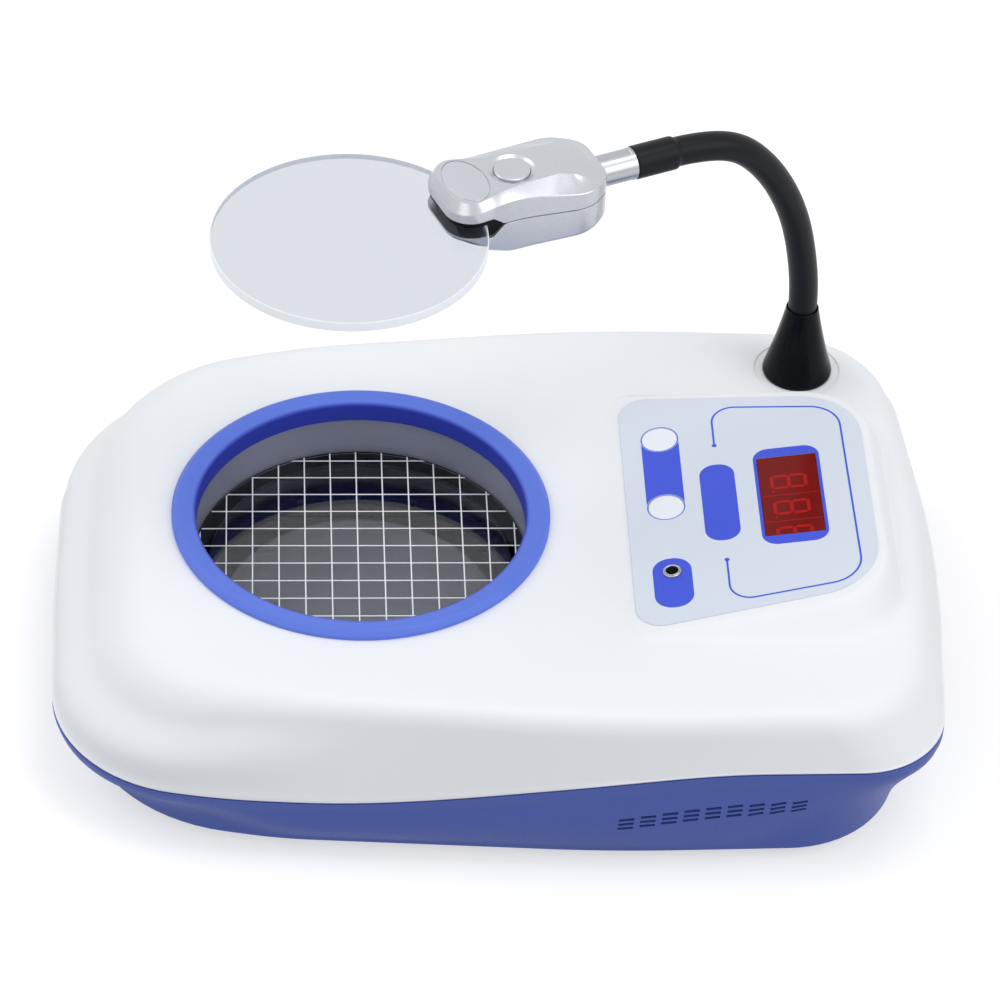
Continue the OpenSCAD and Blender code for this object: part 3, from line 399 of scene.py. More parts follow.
# An outline of the housing, moved in by an inset: a corner list for one side and its mirror. The ends are
# bows, and apex is how far past an end the tangents of its bow meet.
def plan(shape, inset):
    s = housing[shape]
    apex = lambda rise, half: housing["endBow"] * (1 / math.cos(math.atan(rise / half)) - 1)
    (front, rear), (w0, w1, w2, w3), (bowFront, bowRear) = s["ends"], s["halves"], s["bows"]
    right = [(0, inset - front - apex(bowFront, w0), housing["endBow"]),
             (w0 - inset, inset + bowFront - front, s["radii"][0] - inset * s["shrink"]),
             (w1 - inset, *s["fore"]),
             (w2 - inset, housing["wideY"], housing["sideBow"]),
             (w3 - inset, rear - bowRear - inset, s["radii"][1] - inset * s["shrink"]),
             (0, rear - inset + apex(bowRear, w3), housing["endBow"])]
    left = [(-x, y, r) for x, y, r in reversed(right) if x > 0]
    return rounded(right + left, housing["steps"], housing["between"])


# The parting line and the tray's rim climb in one soft wave; the shoulder softens towards the front
def waveHeight(name, y):
    low, high = housing[name]
    return low + (high - low) * smooth((y - housing["wave"][0]) / housing["wave"][1])


def partHeight(y):
    return waveHeight("partHeights", y)


def softness(y):
    return smooth((y - housing["soft"][0]) / housing["soft"][1])


# The cover's skin: a rounded lower lip, a wall with a slight cheek, and a shoulder drawn as a quadratic curve
def coverRows(inset, top, wallRows, shoulderRows):
    base, edgeFlat = plan("part", inset), plan("top", inset)
    low = lift(base, partHeight(base[:, 1]))
    edge = lift(edgeFlat, top)
    fore, aft = (lift(plan("top", s * housing["flatShare"]), top) for s in housing["shoulders"])
    s = softness(aft[:, 1])[:, None]
    flat = fore * (1 - s) + aft * s
    cheek = lift(plan("part", inset - housing["cheek"]) - base, 0) * (1 - softness(low[:, 1]))[:, None]
    drop = housing["shoulders"][0] + np.diff(housing["shoulders"])[0] * softness(edge[:, 1])
    share = np.minimum(housing["wallShare"], drop / (edge[:, 2] - low[:, 2]))[:, None]
    brow = edge + (low - edge) * share
    t = np.linspace(0, 1, wallRows)[:, None, None]
    wall = low + (brow - low) * t + cheek * np.sin(math.pi * t) ** 2
    u = np.linspace(0, 1, shoulderRows + 1)[1:, None, None]
    shoulder = brow * (1 - u) ** 2 + 2 * edge * u * (1 - u) + flat * u ** 2
    return [*wall, *shoulder]


# Wedge under the panel: its foot leaves the deck and its brim meets the panel's plane with no crease,
# by lifting a smooth step's share of the plane's height along each line from foot to brim
wedge = {"tilt": 7.9, "panelY": 49.014, "panelZ": 72.6, "frontY": 47.35, "rearY": 139.15, "cornerFront": 6,
         "foot": (72, 75, 10.5, 32), "brim": (68.6, 57, 3, 28), "farFoot": (71, 67.5), "rows": 20,
         "lean": 0.85, "room": (5, 9)}
tilt = math.radians(wedge["tilt"])


def planeHeight(y):
    return wedge["panelZ"] + (y - wedge["panelY"]) * math.tan(tilt)


# The near side and the far side have half widths of their own
def wedgeOutline(front, rear, past, r, far=None):
    y = wedge["rearY"] + past
    farFront, farRear = far or (front, rear)
    return rounded([(front, wedge["frontY"], wedge["cornerFront"]), (rear, y, r), (-farRear, y, r),
                    (-farFront, wedge["frontY"], wedge["cornerFront"])], 16)


def panelPlaced(patches):
    c, s = math.cos(tilt), math.sin(tilt)
    return placed(patches, (0, wedge["panelY"], wedge["panelZ"]), [(1, 0, 0), (0, c, s), (0, -s, c)])


panel = {
    "length": 92, "frontWide": 133.4, "rearWide": 108.4, "frontR": 10, "rearR": 26, "base": 0.05, "top": 0.65,
    "keys": {"check_key": (-39.9, 15), "reset_key": (0, 15)}, "keyR": 6.7, "keyRoom": 1.4, "stemR": 2.3,
    "window": (44.8, 22.4, 62.1), "jack": (36.9, 14.8), "jackR": 3.1, "gap": 0.15, "coverGap": 0.3,
    "bevel": 0.2, "cut": (-9, 3), "stem": (2, -8.4), "keyDeep": 1.2, "keyCrown": (0.12, 0.34),
}
dish = {"y": -51.2, "holeR": 64.6}
neckFoot = {"x": -86.5, "y": 120.95, "seatR": 16.8, "seatDeep": 0.4, "stubR": 5.15,
            "cut": (-8, 20)}


def rectangle(u0, u1, v0, v1, r=0.0, steps=8):
    corners = [(u0, v0), (u1, v0), (u1, v1), (u0, v1)]
    return rounded([(u, v, r) for u, v in corners], steps) if r else np.array(corners, float)


def makeCover():
    deck, wall = housing["deck"], housing["wall"]
    outer = coverRows(0, deck, 14, 16)
    inner = coverRows(wall, deck - wall, 6, 6)
    lip = housing["lipRound"]
    turn = np.linspace(0, math.pi / 2, 5)
    base = [plan("part", lip * (1 - math.sin(a))) for a in turn]
    under = [lift(f, partHeight(f[:, 1]) + lip * (1 - math.cos(a))) for f, a in zip(base, turn)]
    # the wall starts where the lip's round ends
    rise = lift(np.zeros((len(outer[0]), 2)), lip)
    outer = [outer[0] + rise] + outer[1:]
    holeTop = circle(0, dish["y"], dish["holeR"], 144)
    foot, brim = wedgeOutline(*wedge["foot"], wedge["farFoot"]), wedgeOutline(*wedge["brim"])
    t = np.linspace(0, 1, wedge["rows"])
    lines = [foot + (brim - foot) * k for k in t]
    shares = smooth(t ** wedge["lean"])
    lifted = [lift(f, deck + (planeHeight(f[:, 1]) - deck) * k) for f, k in zip(lines, shares)]
    patches = [
        gridPatch(under + outer[1:]),
        flatFill(outer[-1][:, :2], deck, [holeTop, foot]),
        gridPatch(lifted), fillPatch(brim, [], lambda x, y: planeHeight(y)),
        gridPatch([lift(holeTop, deck), lift(holeTop, deck - wall)]),
        flatFill(inner[-1][:, :2], deck - wall, [holeTop], -1),
        gridPatch(inner[::-1] + [under[0]]),
    ]
    mesh = meshOf("coverShell", patches, 35)
    # the room under the wedge, and the holes for neck, window, socket and keys, are cut out of the shell
    fore, aft = wedge["room"]
    room = [wedgeOutline(f - fore, r - aft, p - wall, c - wall)
            for f, r, p, c in (wedge["foot"], wedge["brim"])]
    roomRows = [lift(room[0], deck - wall - 1), lift(room[0], deck - wall),
                lift(room[1], planeHeight(room[1][:, 1]) - wall)]
    roomPatches = [gridPatch(roomRows), fillPatch(room[1], [], lambda x, y: planeHeight(y) - wall),
                   flatFill(room[0], deck - wall - 1, facing=-1)]
    n = neckFoot
    (low, high), stub, wide, deep = n["cut"], n["stubR"], n["seatR"], n["seatDeep"]
    seat = [(0, low), (stub, low), (stub, -deep), (wide, -deep), (wide, high), (0, high)]
    seat = placed([lathePatch(seat, 96)], (n["x"], n["y"], deck))
    (w, h, v), gap, (low, high) = panel["window"], panel["coverGap"], panel["cut"]
    window = boxPatches((-w / 2 - gap, v - h / 2 - gap, low), (w / 2 + gap, v + h / 2 + gap, high))
    holes = [panelPlaced(window), panelPlaced(postPatches(*panel["jack"], panel["jackR"], low, high))]
    for u, v in panel["keys"].values():
        r, s, d = panel["keyR"] + gap, panel["stemR"], panel["keyRoom"]
        bore = lathePatch([(0, low), (s, low), (s, -d), (r, -d), (r, high), (0, high)], 64)
        holes.append(panelPlaced(placed([bore], (u, v, 0))))
    addPiece(carved(mesh, [roomPatches, seat, sum(holes, [])], 35), "base", "coverWhite",
             ["top_cover"])


makeCover()
print("cover made")


# Tray: a bowl from the floor to the parting line, with leaning vents and the rear pocket cut out
tray = {"columns": 9, "rowsOfVents": 3, "pitch": 7.9, "rowPitch": 2.35, "length": 5.6, "height": 1.3,
        "deep": 32, "belly": (2.2, -2.5), "y": 44, "below": 22.6, "rise": (0.5, 5), "lean": 0.12, "turn": 7.5,
        "x": 112.4, "pocket": (35, 147.25, 11, 41), "inlet": (14, 13.8, 9.85), "switch": (-20, 7.95, 11.15),
        "fitZ": 26, "ends": (5, 80, 60), "rearFrom": 120, "skinRoom": 0.15}


def ventPatches():
    out = []
    turn = math.radians(tray["turn"])
    axes = [(1, 0, 0), (0, math.cos(turn), math.sin(turn)), (0, -math.sin(turn), math.cos(turn))]
    for side in (-1, 1):
        for column in range(tray["columns"]):
            for row in range(tray["rowsOfVents"]):
                y = tray["y"] + column * tray["pitch"] + row * tray["lean"]
                z = float(partHeight(y)) - tray["below"] + row * tray["rowPitch"]
                z += tray["rise"][0] * min(column, tray["rise"][1])
                half = np.array([tray["deep"], tray["length"], tray["height"]]) / 2
                out += placed(boxPatches(-half, half), (side * tray["x"], y, z), axes)
    return out


# A line round the tray, below the parting line by the height of the rim and a drop
def trayRim(inset, drop):
    f = plan("part", inset)
    return lift(f, partHeight(f[:, 1]) - waveHeight("rims", f[:, 1]) - drop)


def makeTray():
    foot, soft, wall = housing["footHeight"], housing["floorSoft"], housing["wall"]
    side = plan("floor", 0)
    a, b, c = lift(plan("floor", soft), foot), lift(side, foot), lift(side, foot + soft)
    turn = [a * (1 - u) ** 2 + 2 * b * u * (1 - u) + c * u * u for u in np.linspace(0, 1, 6)]
    shoulder = trayRim(housing["rimStep"], housing["rimSoft"])
    f = plan("part", 0)
    # the flank follows half a sine wave between floor and shoulder: out along the sides, in round the ends
    middle, start, run = tray["ends"]
    ends = smooth((np.abs(f[:, 1] - middle) - start) / run)
    swell = tray["belly"][0] + (tray["belly"][1] - tray["belly"][0]) * ends
    belly = lift(f - plan("part", 1), 0) * swell[:, None]
    climb = [c + (shoulder - c) * u + belly * math.sin(math.pi * u) for u in np.linspace(0.08, 1, 10)]
    brow = trayRim(0, 0)
    gap = housing["partGap"]
    drop, inset = housing["lipEdge"]
    lip = [lift(f, partHeight(f[:, 1]) - drop), lift(plan("part", inset), partHeight(f[:, 1]) - gap)]
    g = plan("part", wall)
    inner = [lift(g, partHeight(g[:, 1]) - gap), trayRim(wall + housing["rimStep"], housing["rimSoft"]),
             lift(plan("floor", wall), foot + wall + soft), lift(plan("floor", wall + soft / 2), foot + wall)]
    patches = [gridPatch(turn + climb + [brow] + lip + inner),
               flatFill(turn[0][:, :2], foot, facing=-1), flatFill(inner[-1][:, :2], foot + wall)]
    half, back, z0, z1 = tray["pocket"]
    mesh = meshOf("trayBowl", patches, 35)
    pocket = boxPatches((-half, back, z0), (half, housing["halfLen"] + 5, z1))
    addPiece(carved(mesh, [pocket, ventPatches()], 35), "base", "trayBlue", ["base_tray"])
    # the pocket's liner: a back plate with the two openings, and four sides that end at the tray's skin
    skin = np.stack(turn + climb)[:, np.argsort(f[:, 0])]
    rear = [row[row[:, 1] > tray["rearFrom"]] for row in skin]

    # how far back the skin lies at x and z, by interpolation along and between its rows
    def skinY(x, z):
        ys, zs = ([np.interp(x, row[:, 0], row[:, k]) for row in rear] for k in (1, 2))
        return float(np.interp(z, zs, ys)) - tray["skinRoom"]

    holes = [rectangle(x - w, x + w, tray["fitZ"] - h, tray["fitZ"] + h)
             for x, w, h in (tray["inlet"], tray["switch"])]
    plate = platePatches(rectangle(-half - wall, half + wall, z0 - wall, z1 + wall), holes, 0, wall)
    plate = placed(plate, (0, back, 0), [(1, 0, 0), (0, 0, 1), (0, -1, 0)])
    across, up = np.linspace(-half - wall, half + wall, 15), np.linspace(z0 - wall, z1 + wall, 15)
    for z in (z0 - wall, z1):
        shelf = [(x, min(skinY(x, z), skinY(x, z + wall))) for x in across[::-1]]
        plate += platePatches(np.array([(-half - wall, back), (half + wall, back)] + shelf), [], z, z + wall)
    for x in (-half - wall, half):
        cheek = [(z, min(skinY(x, z), skinY(x + wall, z))) for z in up[::-1]]
        cheek = np.array(cheek + [(up[0], back), (up[-1], back)])
        side = platePatches(cheek[::-1], [], 0, wall)
        plate += placed(side, (x, 0, 0), [(0, 0, 1), (0, 1, 0), (1, 0, 0)])
    addPiece(meshOf("rearPocketLiner", plate, 30, 1e-7), "base", "trayBlue")


# Feet: turned rubber pads with a rolled rim and a shallow recess underneath, left open at their axis
feet = {"spots": [(72, -118.75), (93.5, 126.75)],
        "pad": [(0, 0.5, 0), (4.2, 0.5, 0.4), (5, 0, 0.5), (6.3, 0, 0.8), (6.6, 3.9, 0.4), (2.6, 3.9, 0.2),
                (2.6, 6.5, 0.5), (0, 6.5, 0)]}


def makeFeet():
    pad = lathePatch(rounded(feet["pad"], 4)[5:-5], 40)
    pads = [placed([pad], (side * x, y, 0)) for x, y in feet["spots"] for side in (-1, 1)]
    addPiece(meshOf("rubberFeet", sum(pads, []), 40), "base", "footRubber", ["rubber_feet"])


makeTray()
makeFeet()
print("tray and feet made")


# Dish well: ring, liner, glass, chamber and disc are turned round the well's axis
well = {"r": 63.6, "t": 2, "flange": 11, "gridZ": 50, "glassT": 2.2, "ledgeZ": 47.75, "ledgeW": 6,
        "chamberR": 57, "chamberTop": 45.75, "chamberZ": 22, "lampZ": 31, "lamps": 16, "lampR": 2.4,
        "lampHigh": (2.0, 1.6), "lampBack": 2.7, "ringProud": 3.5, "discR": 56.7, "discZ": (22.05, 23.05)}


# A profile turned round the well's axis, as a piece
def addTurned(name, profile, count, closed, sharp, finishName, replaced=(), weld=2e-6):
    patches = placed([lathePatch(profile, count, closed)], (0, dish["y"], 0))
    addPiece(meshOf(name, patches, sharp, weld), "base", finishName, replaced)


# the ring's bore is painted a deeper blue than its grained lip: a painted shade for the well's inner wall,
# where less light falls
ringBlueShadedBore = finish("abs_satin_blue_ring_painted_shade", ("#5A76DA", "#607CDF"), (0.4, 0.54), 40, 0.8, 0.05, 0.3)
finishes["ringBlueShadedBore"] = banded(ringBlueShadedBore, "#2E3EB4", 63.6, 62.3, (0, dish["y"] * mm, 0), (1, 1, 0))
# the sheet under the glass turns dark towards its edge, between 51.5 and 53 mm from the well's axis
discGrey = finish("matt_grey_sheet", ("#96959F", "#9A99A3"), (0.5, 0.56), 30, 0.8, 0.006, 0.3)
finishes["discGrey"] = banded(discGrey, "#1D1E2B", 51.5, 53, (0, dish["y"] * mm, 0), (1, 1, 0))


def makeWell():
    top = housing["deck"] + well["ringProud"]
    ring = rounded([(62, 66.5, 0.4), (64.3, 66.5, 0.3), (64.3, 72.35, 0.2), (71.2, 72.35, 0.25),
                    (71.2, 73.9, 0.6), (69.2, top, 2.2), (66.5, top - 0.25, 4), (62.1, top - 1.6, 1.2)], 10)
    addTurned("dishRing", ring, 192, True, 32, "ringBlueShadedBore", ["dish_ring"])
    w = well
    r, z = w["r"], w["ledgeZ"]
    cup = rounded([(r - w["ledgeW"], w["chamberTop"], 0.2), (r + w["t"], w["chamberTop"], 0.4),
                   (r + w["t"], 67.65, 0.8), (r + w["flange"], 67.65, 0.3), (r + w["flange"], 69.65, 0.3),
                   (64.6, 69.65, 0.2), (64.6, 66.45, 0.2), (r, 66.45, 0.3), (r, z, 0.6),
                   (r - w["ledgeW"], z, 0.2)], 5)
    addTurned("wellLiner", cup, 192, True, 32, "linerGrey", ["well_cup"])
    glassLow, glassHigh, edge = w["gridZ"] - w["glassT"], w["gridZ"], r - 0.3
    plate = [(0, glassLow), (edge - 0.3, glassLow), (edge, glassLow + 0.3), (edge, glassHigh - 0.3),
             (edge - 0.3, glassHigh), (0, glassHigh)]
    addTurned("gridGlass", plate, 160, False, 30, "gridGlass", ["grid_glass"])
    # the seal lies on the ledge under the glass, and laps over the ledge's lip
    lip, under = r - w["ledgeW"] - 0.3, w["chamberTop"] + 0.02
    seal = [(lip, under), (lip + 0.32, under), (lip + 0.32, z), (r - 0.2, z), (r - 0.2, glassLow),
            (lip, glassLow)]
    addTurned("glassSeal", seal, 160, True, 30, "gasketRubber", weld=1e-7)
    c, low, high = w["chamberR"], w["chamberZ"], w["chamberTop"] - 0.05
    wall = rounded([(0, low - 2, 0), (c + 2, low - 2, 1), (c + 2, high - 2, 0.5), (r + 2, high - 2, 0.3),
                    (r + 2, high, 0.3), (c, high, 0.6), (c, low, 1.2), (0, low, 0)], 5)
    addTurned("lampChamber", wall, 160, False, 32, "chamberDark", ["lamp_chamber"])
    # a diode is a turned bead whose dome stands just proud of the chamber's wall
    lampR, (h, crown) = w["lampR"], w["lampHigh"]
    dome = [(0, 0), (lampR, 0), (lampR, h)] + [(lampR * math.cos(a), h + crown * math.sin(a))
                                              for a in np.linspace(0, math.pi / 2, 8)[1:]]
    beads = []
    for k in range(w["lamps"]):
        a = 2 * math.pi * k / w["lamps"]
        ahead = np.array([-math.cos(a), -math.sin(a), 0])
        across = np.array([math.sin(a), -math.cos(a), 0])
        origin = np.array([0, dish["y"], w["lampZ"]]) - ahead * (c + w["lampBack"])
        beads += placed([lathePatch(dome, 20)], origin, [np.cross(across, ahead), across, ahead])
    addPiece(meshOf("lampDiodes", beads, 40), "base", "lampResin", ["lamp_diodes"])
    edge, (low, high) = w["discR"], w["discZ"]
    disc = [(0, low), (edge - 0.3, low), (edge, low + 0.3), (edge, high - 0.3), (edge - 0.3, high), (0, high)]
    addTurned("backgroundDisc", disc, 128, False, 30, "discGrey", ["background_disc"])


makeWell()
print("dish well made")


# Panel: the film, the blue prints that lie on it, and the keys
prints = {"raise": 0.05, "band": (-39.9, 0, 7.2), "pill": (0.3, 35.3, 43.7, 13.3, 6.2),
          "frame": (-27.5, 27.5, 49.5, 74.7, 6), "jackPill": (42.9, 14.8, 27.2, 14.6, 6.8), "line": 0.75,
          "sink": 0.02, "bandGap": 0.75, "keyRing": (0.5, 0.2), "jackRing": 3.3, "loopEnd": (0.95, 0.01),
          "loop": [(-32.8, 35.6, 0), (-55.8, 35.7, 8), (-48.4, 84.2, 13), (50.6, 85, 13), (56.4, 35.4, 8),
                   (33.2, 35.5, 0)]}


# A path through the given points, with a round corner at each one between its ends
def roundedPath(points, steps=14):
    q = np.array(points, float)
    parts = [q[:1, :2]]
    for i in range(1, len(q) - 1):
        parts.append(cornerArc(*q[i - 1:i + 2, :2], q[i, 2], steps))
    return np.concatenate(parts + [q[-1:, :2]])


# A stripe of even width along a path, as one closed outline
def stripe(path, width):
    run = np.gradient(path, axis=0)
    run /= np.maximum(np.linalg.norm(run, axis=1, keepdims=True), 1e-9)
    side = np.stack([-run[:, 1], run[:, 0]], 1) * width / 2
    return np.concatenate([path - side, (path + side)[::-1]])


def pillOutline(u, v, wide, high, r):
    return rectangle(u - wide / 2, u + wide / 2, v - high / 2, v + high / 2, r, 12)


def makePanel():
    p, top = panel, panel["top"]
    w, h, wv = p["window"]
    gap = p["gap"]
    window = rectangle(-w / 2 - gap, w / 2 + gap, wv - h / 2 - gap, wv + h / 2 + gap)
    keyHoles = [circle(u, v, p["keyR"] + gap, 64) for u, v in p["keys"].values()]
    jackHole = circle(*p["jack"], p["jackR"], 48)
    front, rear = (p["frontWide"] / 2, 0, p["frontR"]), (p["rearWide"] / 2, p["length"], p["rearR"])
    outline = rounded([front, rear, (-rear[0], *rear[1:]), (-front[0], *front[1:])], 16)
    film = platePatches(outline, [window, jackHole, *keyHoles], p["base"], top, p["bevel"])
    addPiece(meshOf("panelFilm", panelPlaced(film), 25), "base", "sheetFilm",
             ["control_panel"])
    low, high = top - prints["sink"], top + prints["raise"]
    u0, u1, half = prints["band"]
    v = p["keys"]["check_key"][1]
    # the band runs between the keys and stops at a thin bare ring round each of them
    clear = p["keyR"] + prints["bandGap"]
    lean = math.asin(min(1, half / clear))
    bite = np.linspace(lean, -lean, 25)
    left = np.stack([u0 + clear * np.cos(bite), v + clear * np.sin(bite)], 1)
    right = np.stack([u1 - clear * np.cos(-bite), v + clear * np.sin(-bite)], 1)
    patches = platePatches(np.concatenate([left, right]), [], low, high)
    for u, kv in p["keys"].values():
        around, within = (circle(u, kv, p["keyR"] + k, 72) for k in prints["keyRing"])
        patches += platePatches(around, [within], low, high)
    patches += platePatches(pillOutline(*prints["pill"]), [], low, high)
    jackRing = circle(*p["jack"], prints["jackRing"], 48)
    patches += platePatches(pillOutline(*prints["jackPill"]), [jackRing], low, high)
    patches += platePatches(rectangle(*prints["frame"], 12), [window], low, high)
    path = roundedPath(prints["loop"])
    patches += platePatches(stripe(path, prints["line"]), [], low, high)
    r, proud = prints["loopEnd"]
    for end in (path[0], path[-1]):
        patches += platePatches(circle(*end, r, 24), [], low, high + proud)
    addPiece(meshOf("panelPrints", panelPlaced(patches), 25, 1e-7), "base", "sheetInk")
    # a key is a shallow dome over its stem
    r, (stem, foot), (edge, rise) = p["keyR"], p["stem"], p["keyCrown"]
    under = top - p["keyDeep"]
    crown = [(r * math.cos(a), top - edge + rise * math.sin(a)) for a in np.linspace(0, math.pi / 2, 14)]
    profile = [(0, foot), (stem, foot), (stem, under), (r, under)] + crown
    for node, (u, kv) in p["keys"].items():
        key = panelPlaced(placed([lathePatch(profile, 64)], (u, kv, 0)))
        addPiece(meshOf(node + "Dome", key, 40), node, "keyFilm", [node])


makePanel()
print("panel made")


# Display: a polished red block, with the bars of unlit seven-segment digits just on its face
display = {"pitch": 14.8, "first": -7.6, "count": 3, "wide": 8, "high": 14, "mid": 62, "bar": 1.35,
           "dots": (5.2, -6.2, 0.5), "seam": (7.6, 0.2), "block": (-1.4, 0.15), "inks": (0.01, 0.02),
           "margin": 0.4, "seamEnd": 0.3}


# The seven bars of a digit, each with six corners, that meet at their points
def segmentOutlines(cu, cv):
    w, h, b = display["wide"] / 2, display["high"] / 2, display["bar"] / 2
    across = np.array([(-w + b, 0), (-w + 2 * b, -b), (w - 2 * b, -b), (w - b, 0), (w - 2 * b, b),
                       (-w + 2 * b, b)])
    upright = np.array([(0, -h / 2 + b), (b, -h / 2 + 2 * b), (b, h / 2 - 2 * b), (0, h / 2 - b),
                        (-b, h / 2 - 2 * b), (-b, -h / 2 + 2 * b)])
    bars = [across + (0, v) for v in (-h + b, 0, h - b)]
    bars += [upright + (u, v) for u in (-w + b, w - b) for v in (-h / 2 + b / 2, h / 2 - b / 2)]
    return [bar + (cu, cv) for bar in bars]


def makeDisplay():
    w, h, v = panel["window"]
    top, (deep, bevel) = panel["top"], display["block"]
    block = platePatches(rectangle(-w / 2, w / 2, v - h / 2, v + h / 2), [], deep, top, bevel)
    addPiece(meshOf("displayWindow", panelPlaced(block), 25), "base", "windowRed",
             ["display_window"])
    patches = []
    sink, proud = display["inks"]
    low, high = top - sink, top + proud
    limit = w / 2 - display["margin"]
    for k in range(display["count"]):
        middle = display["first"] + k * display["pitch"]
        for bar in segmentOutlines(middle, display["mid"]):
            if bar[:, 0].min() < limit - display["margin"]:
                shown = np.column_stack([np.minimum(bar[:, 0], limit), bar[:, 1]])
                # points that fall together at the window's edge are kept once
                once = np.sort(np.unique(shown, axis=0, return_index=True)[1])
                patches += platePatches(shown[once], [], low, high)
        # a point after each digit and a fine seam between one digit's block and the next
        du, dv, r = display["dots"]
        seam, half = display["seam"]
        if middle + seam < limit:
            patches += platePatches(circle(middle + du, display["mid"] + dv, r, 20), [], low, high)
            line = rectangle(middle + seam - half, middle + seam + half, v - h / 2 + display["seamEnd"],
                             v + h / 2 - display["seamEnd"])
            patches += platePatches(line, [], low, high - sink)
    addPiece(meshOf("displayDigits", panelPlaced(patches), 25, 1e-7), "base", "digitRed")


# Socket: a turned barrel over its block, held by a nut with a chamfer and a rolled inner lip
socket = {"barrelR": 2.95, "boreR": 2.4, "top": 1.75, "block": (9, 11, -14.6, -2.6), "floor": -13.1,
          "nutR": 3.5, "nut": (0.66, 1.5)}


def makeSocket():
    s = socket
    wide, long, low, high = s["block"]
    shell = rectangle(-wide / 2, wide / 2, -long / 2, long / 2)
    lip = rounded([(s["barrelR"], high, 0), (s["barrelR"], s["top"], 0.2), (s["boreR"], s["top"], 0.25),
                   (s["boreR"], s["floor"], 0), (0, s["floor"], 0)], 4)[4:-4]
    patches = [gridPatch([lift(shell, low), lift(shell, high)]), flatFill(shell, low, facing=-1),
               flatFill(shell, high, [circle(0, 0, s["barrelR"], 64)]), lathePatch(lip, 64)]
    inner, (under, over) = s["barrelR"] + 0.03, s["nut"]
    nut = rounded([(inner, under, 0.1), (s["nutR"], under, 0.1), (s["nutR"], over, 0.35),
                   (inner, over, 0.12)], 4)
    spot = (*panel["jack"], 0)
    for name, shape, node in (("socketBarrel", patches, "probe_jack"),
                              ("socketNut", [lathePatch(nut, 64, True)], "jack_nut")):
        mesh = meshOf(name, panelPlaced(placed(shape, spot)), 40)
        addPiece(mesh, "base", "chromeSatin", [node])


makeDisplay()
makeSocket()
print("display and socket made")


# Gooseneck: a cone, then open sleeves, edge to edge, along a path whose heading turns by each length's bend
neck = {"heading": 67, "step": 17.6, "coneHigh": 31.3, "bends": (8, 5, 9, 10, 13, 32, 13, 0), "r": 5.6,
        "endR": 6.4, "ease": 5.0, "around": 40, "perLength": 24, "coneR": (13.45, 6.35), "hollow": 0.4,
        "coneSide": (1.6, 2.1), "flare": (1.02, 0.09), "sunk": 2.4, "tail": (0.5, 0.94, 0.5),
        "coneFoot": [(0, -12), (5, -12), (5, -0.55), (12.8, -0.55), (13.3, -0.3), (13.55, 0.3), (13.55, 1)],
        "mouth": [(6.3, 0.2), (6.1, 0), (5.85, 0.1), (5.75, 2.5), (0, 2.5)]}
arm = math.radians(-neck["heading"])
armAxes = np.array([(math.cos(arm), math.sin(arm), 0), (-math.sin(arm), math.cos(arm), 0), (0, 0, 1)])
neckOrigin = np.array([neckFoot["x"], neckFoot["y"], housing["deck"]])


# Heading and place along the neck: the bend is constant in each length and eased over its ends by a running
# mean, and the place is the running sum of the heading's direction
def neckPath(count):
    bends = np.radians(neck["bends"])
    fine = 40
    rate = np.repeat(bends / fine, fine)
    reach = int(neck["ease"] / neck["step"] * fine)
    kernel = np.ones(2 * reach + 1) / (2 * reach + 1)
    rate = np.convolve(np.pad(rate, reach, mode="reflect"), kernel, mode="valid")
    rate *= bends.sum() / rate.sum()
    angle = np.concatenate([[0], np.cumsum(rate)])
    middle = (angle[1:] + angle[:-1]) / 2
    step = neck["step"] / fine
    x = np.concatenate([[0], np.cumsum(np.sin(middle) * step)])
    z = np.concatenate([[0], np.cumsum(np.cos(middle) * step)]) + neck["coneHigh"]
    at = np.arange(len(angle)) / fine
    want = np.linspace(0, len(neck["bends"]), count)
    return want, np.interp(want, at, x), np.interp(want, at, z), np.interp(want, at, angle)


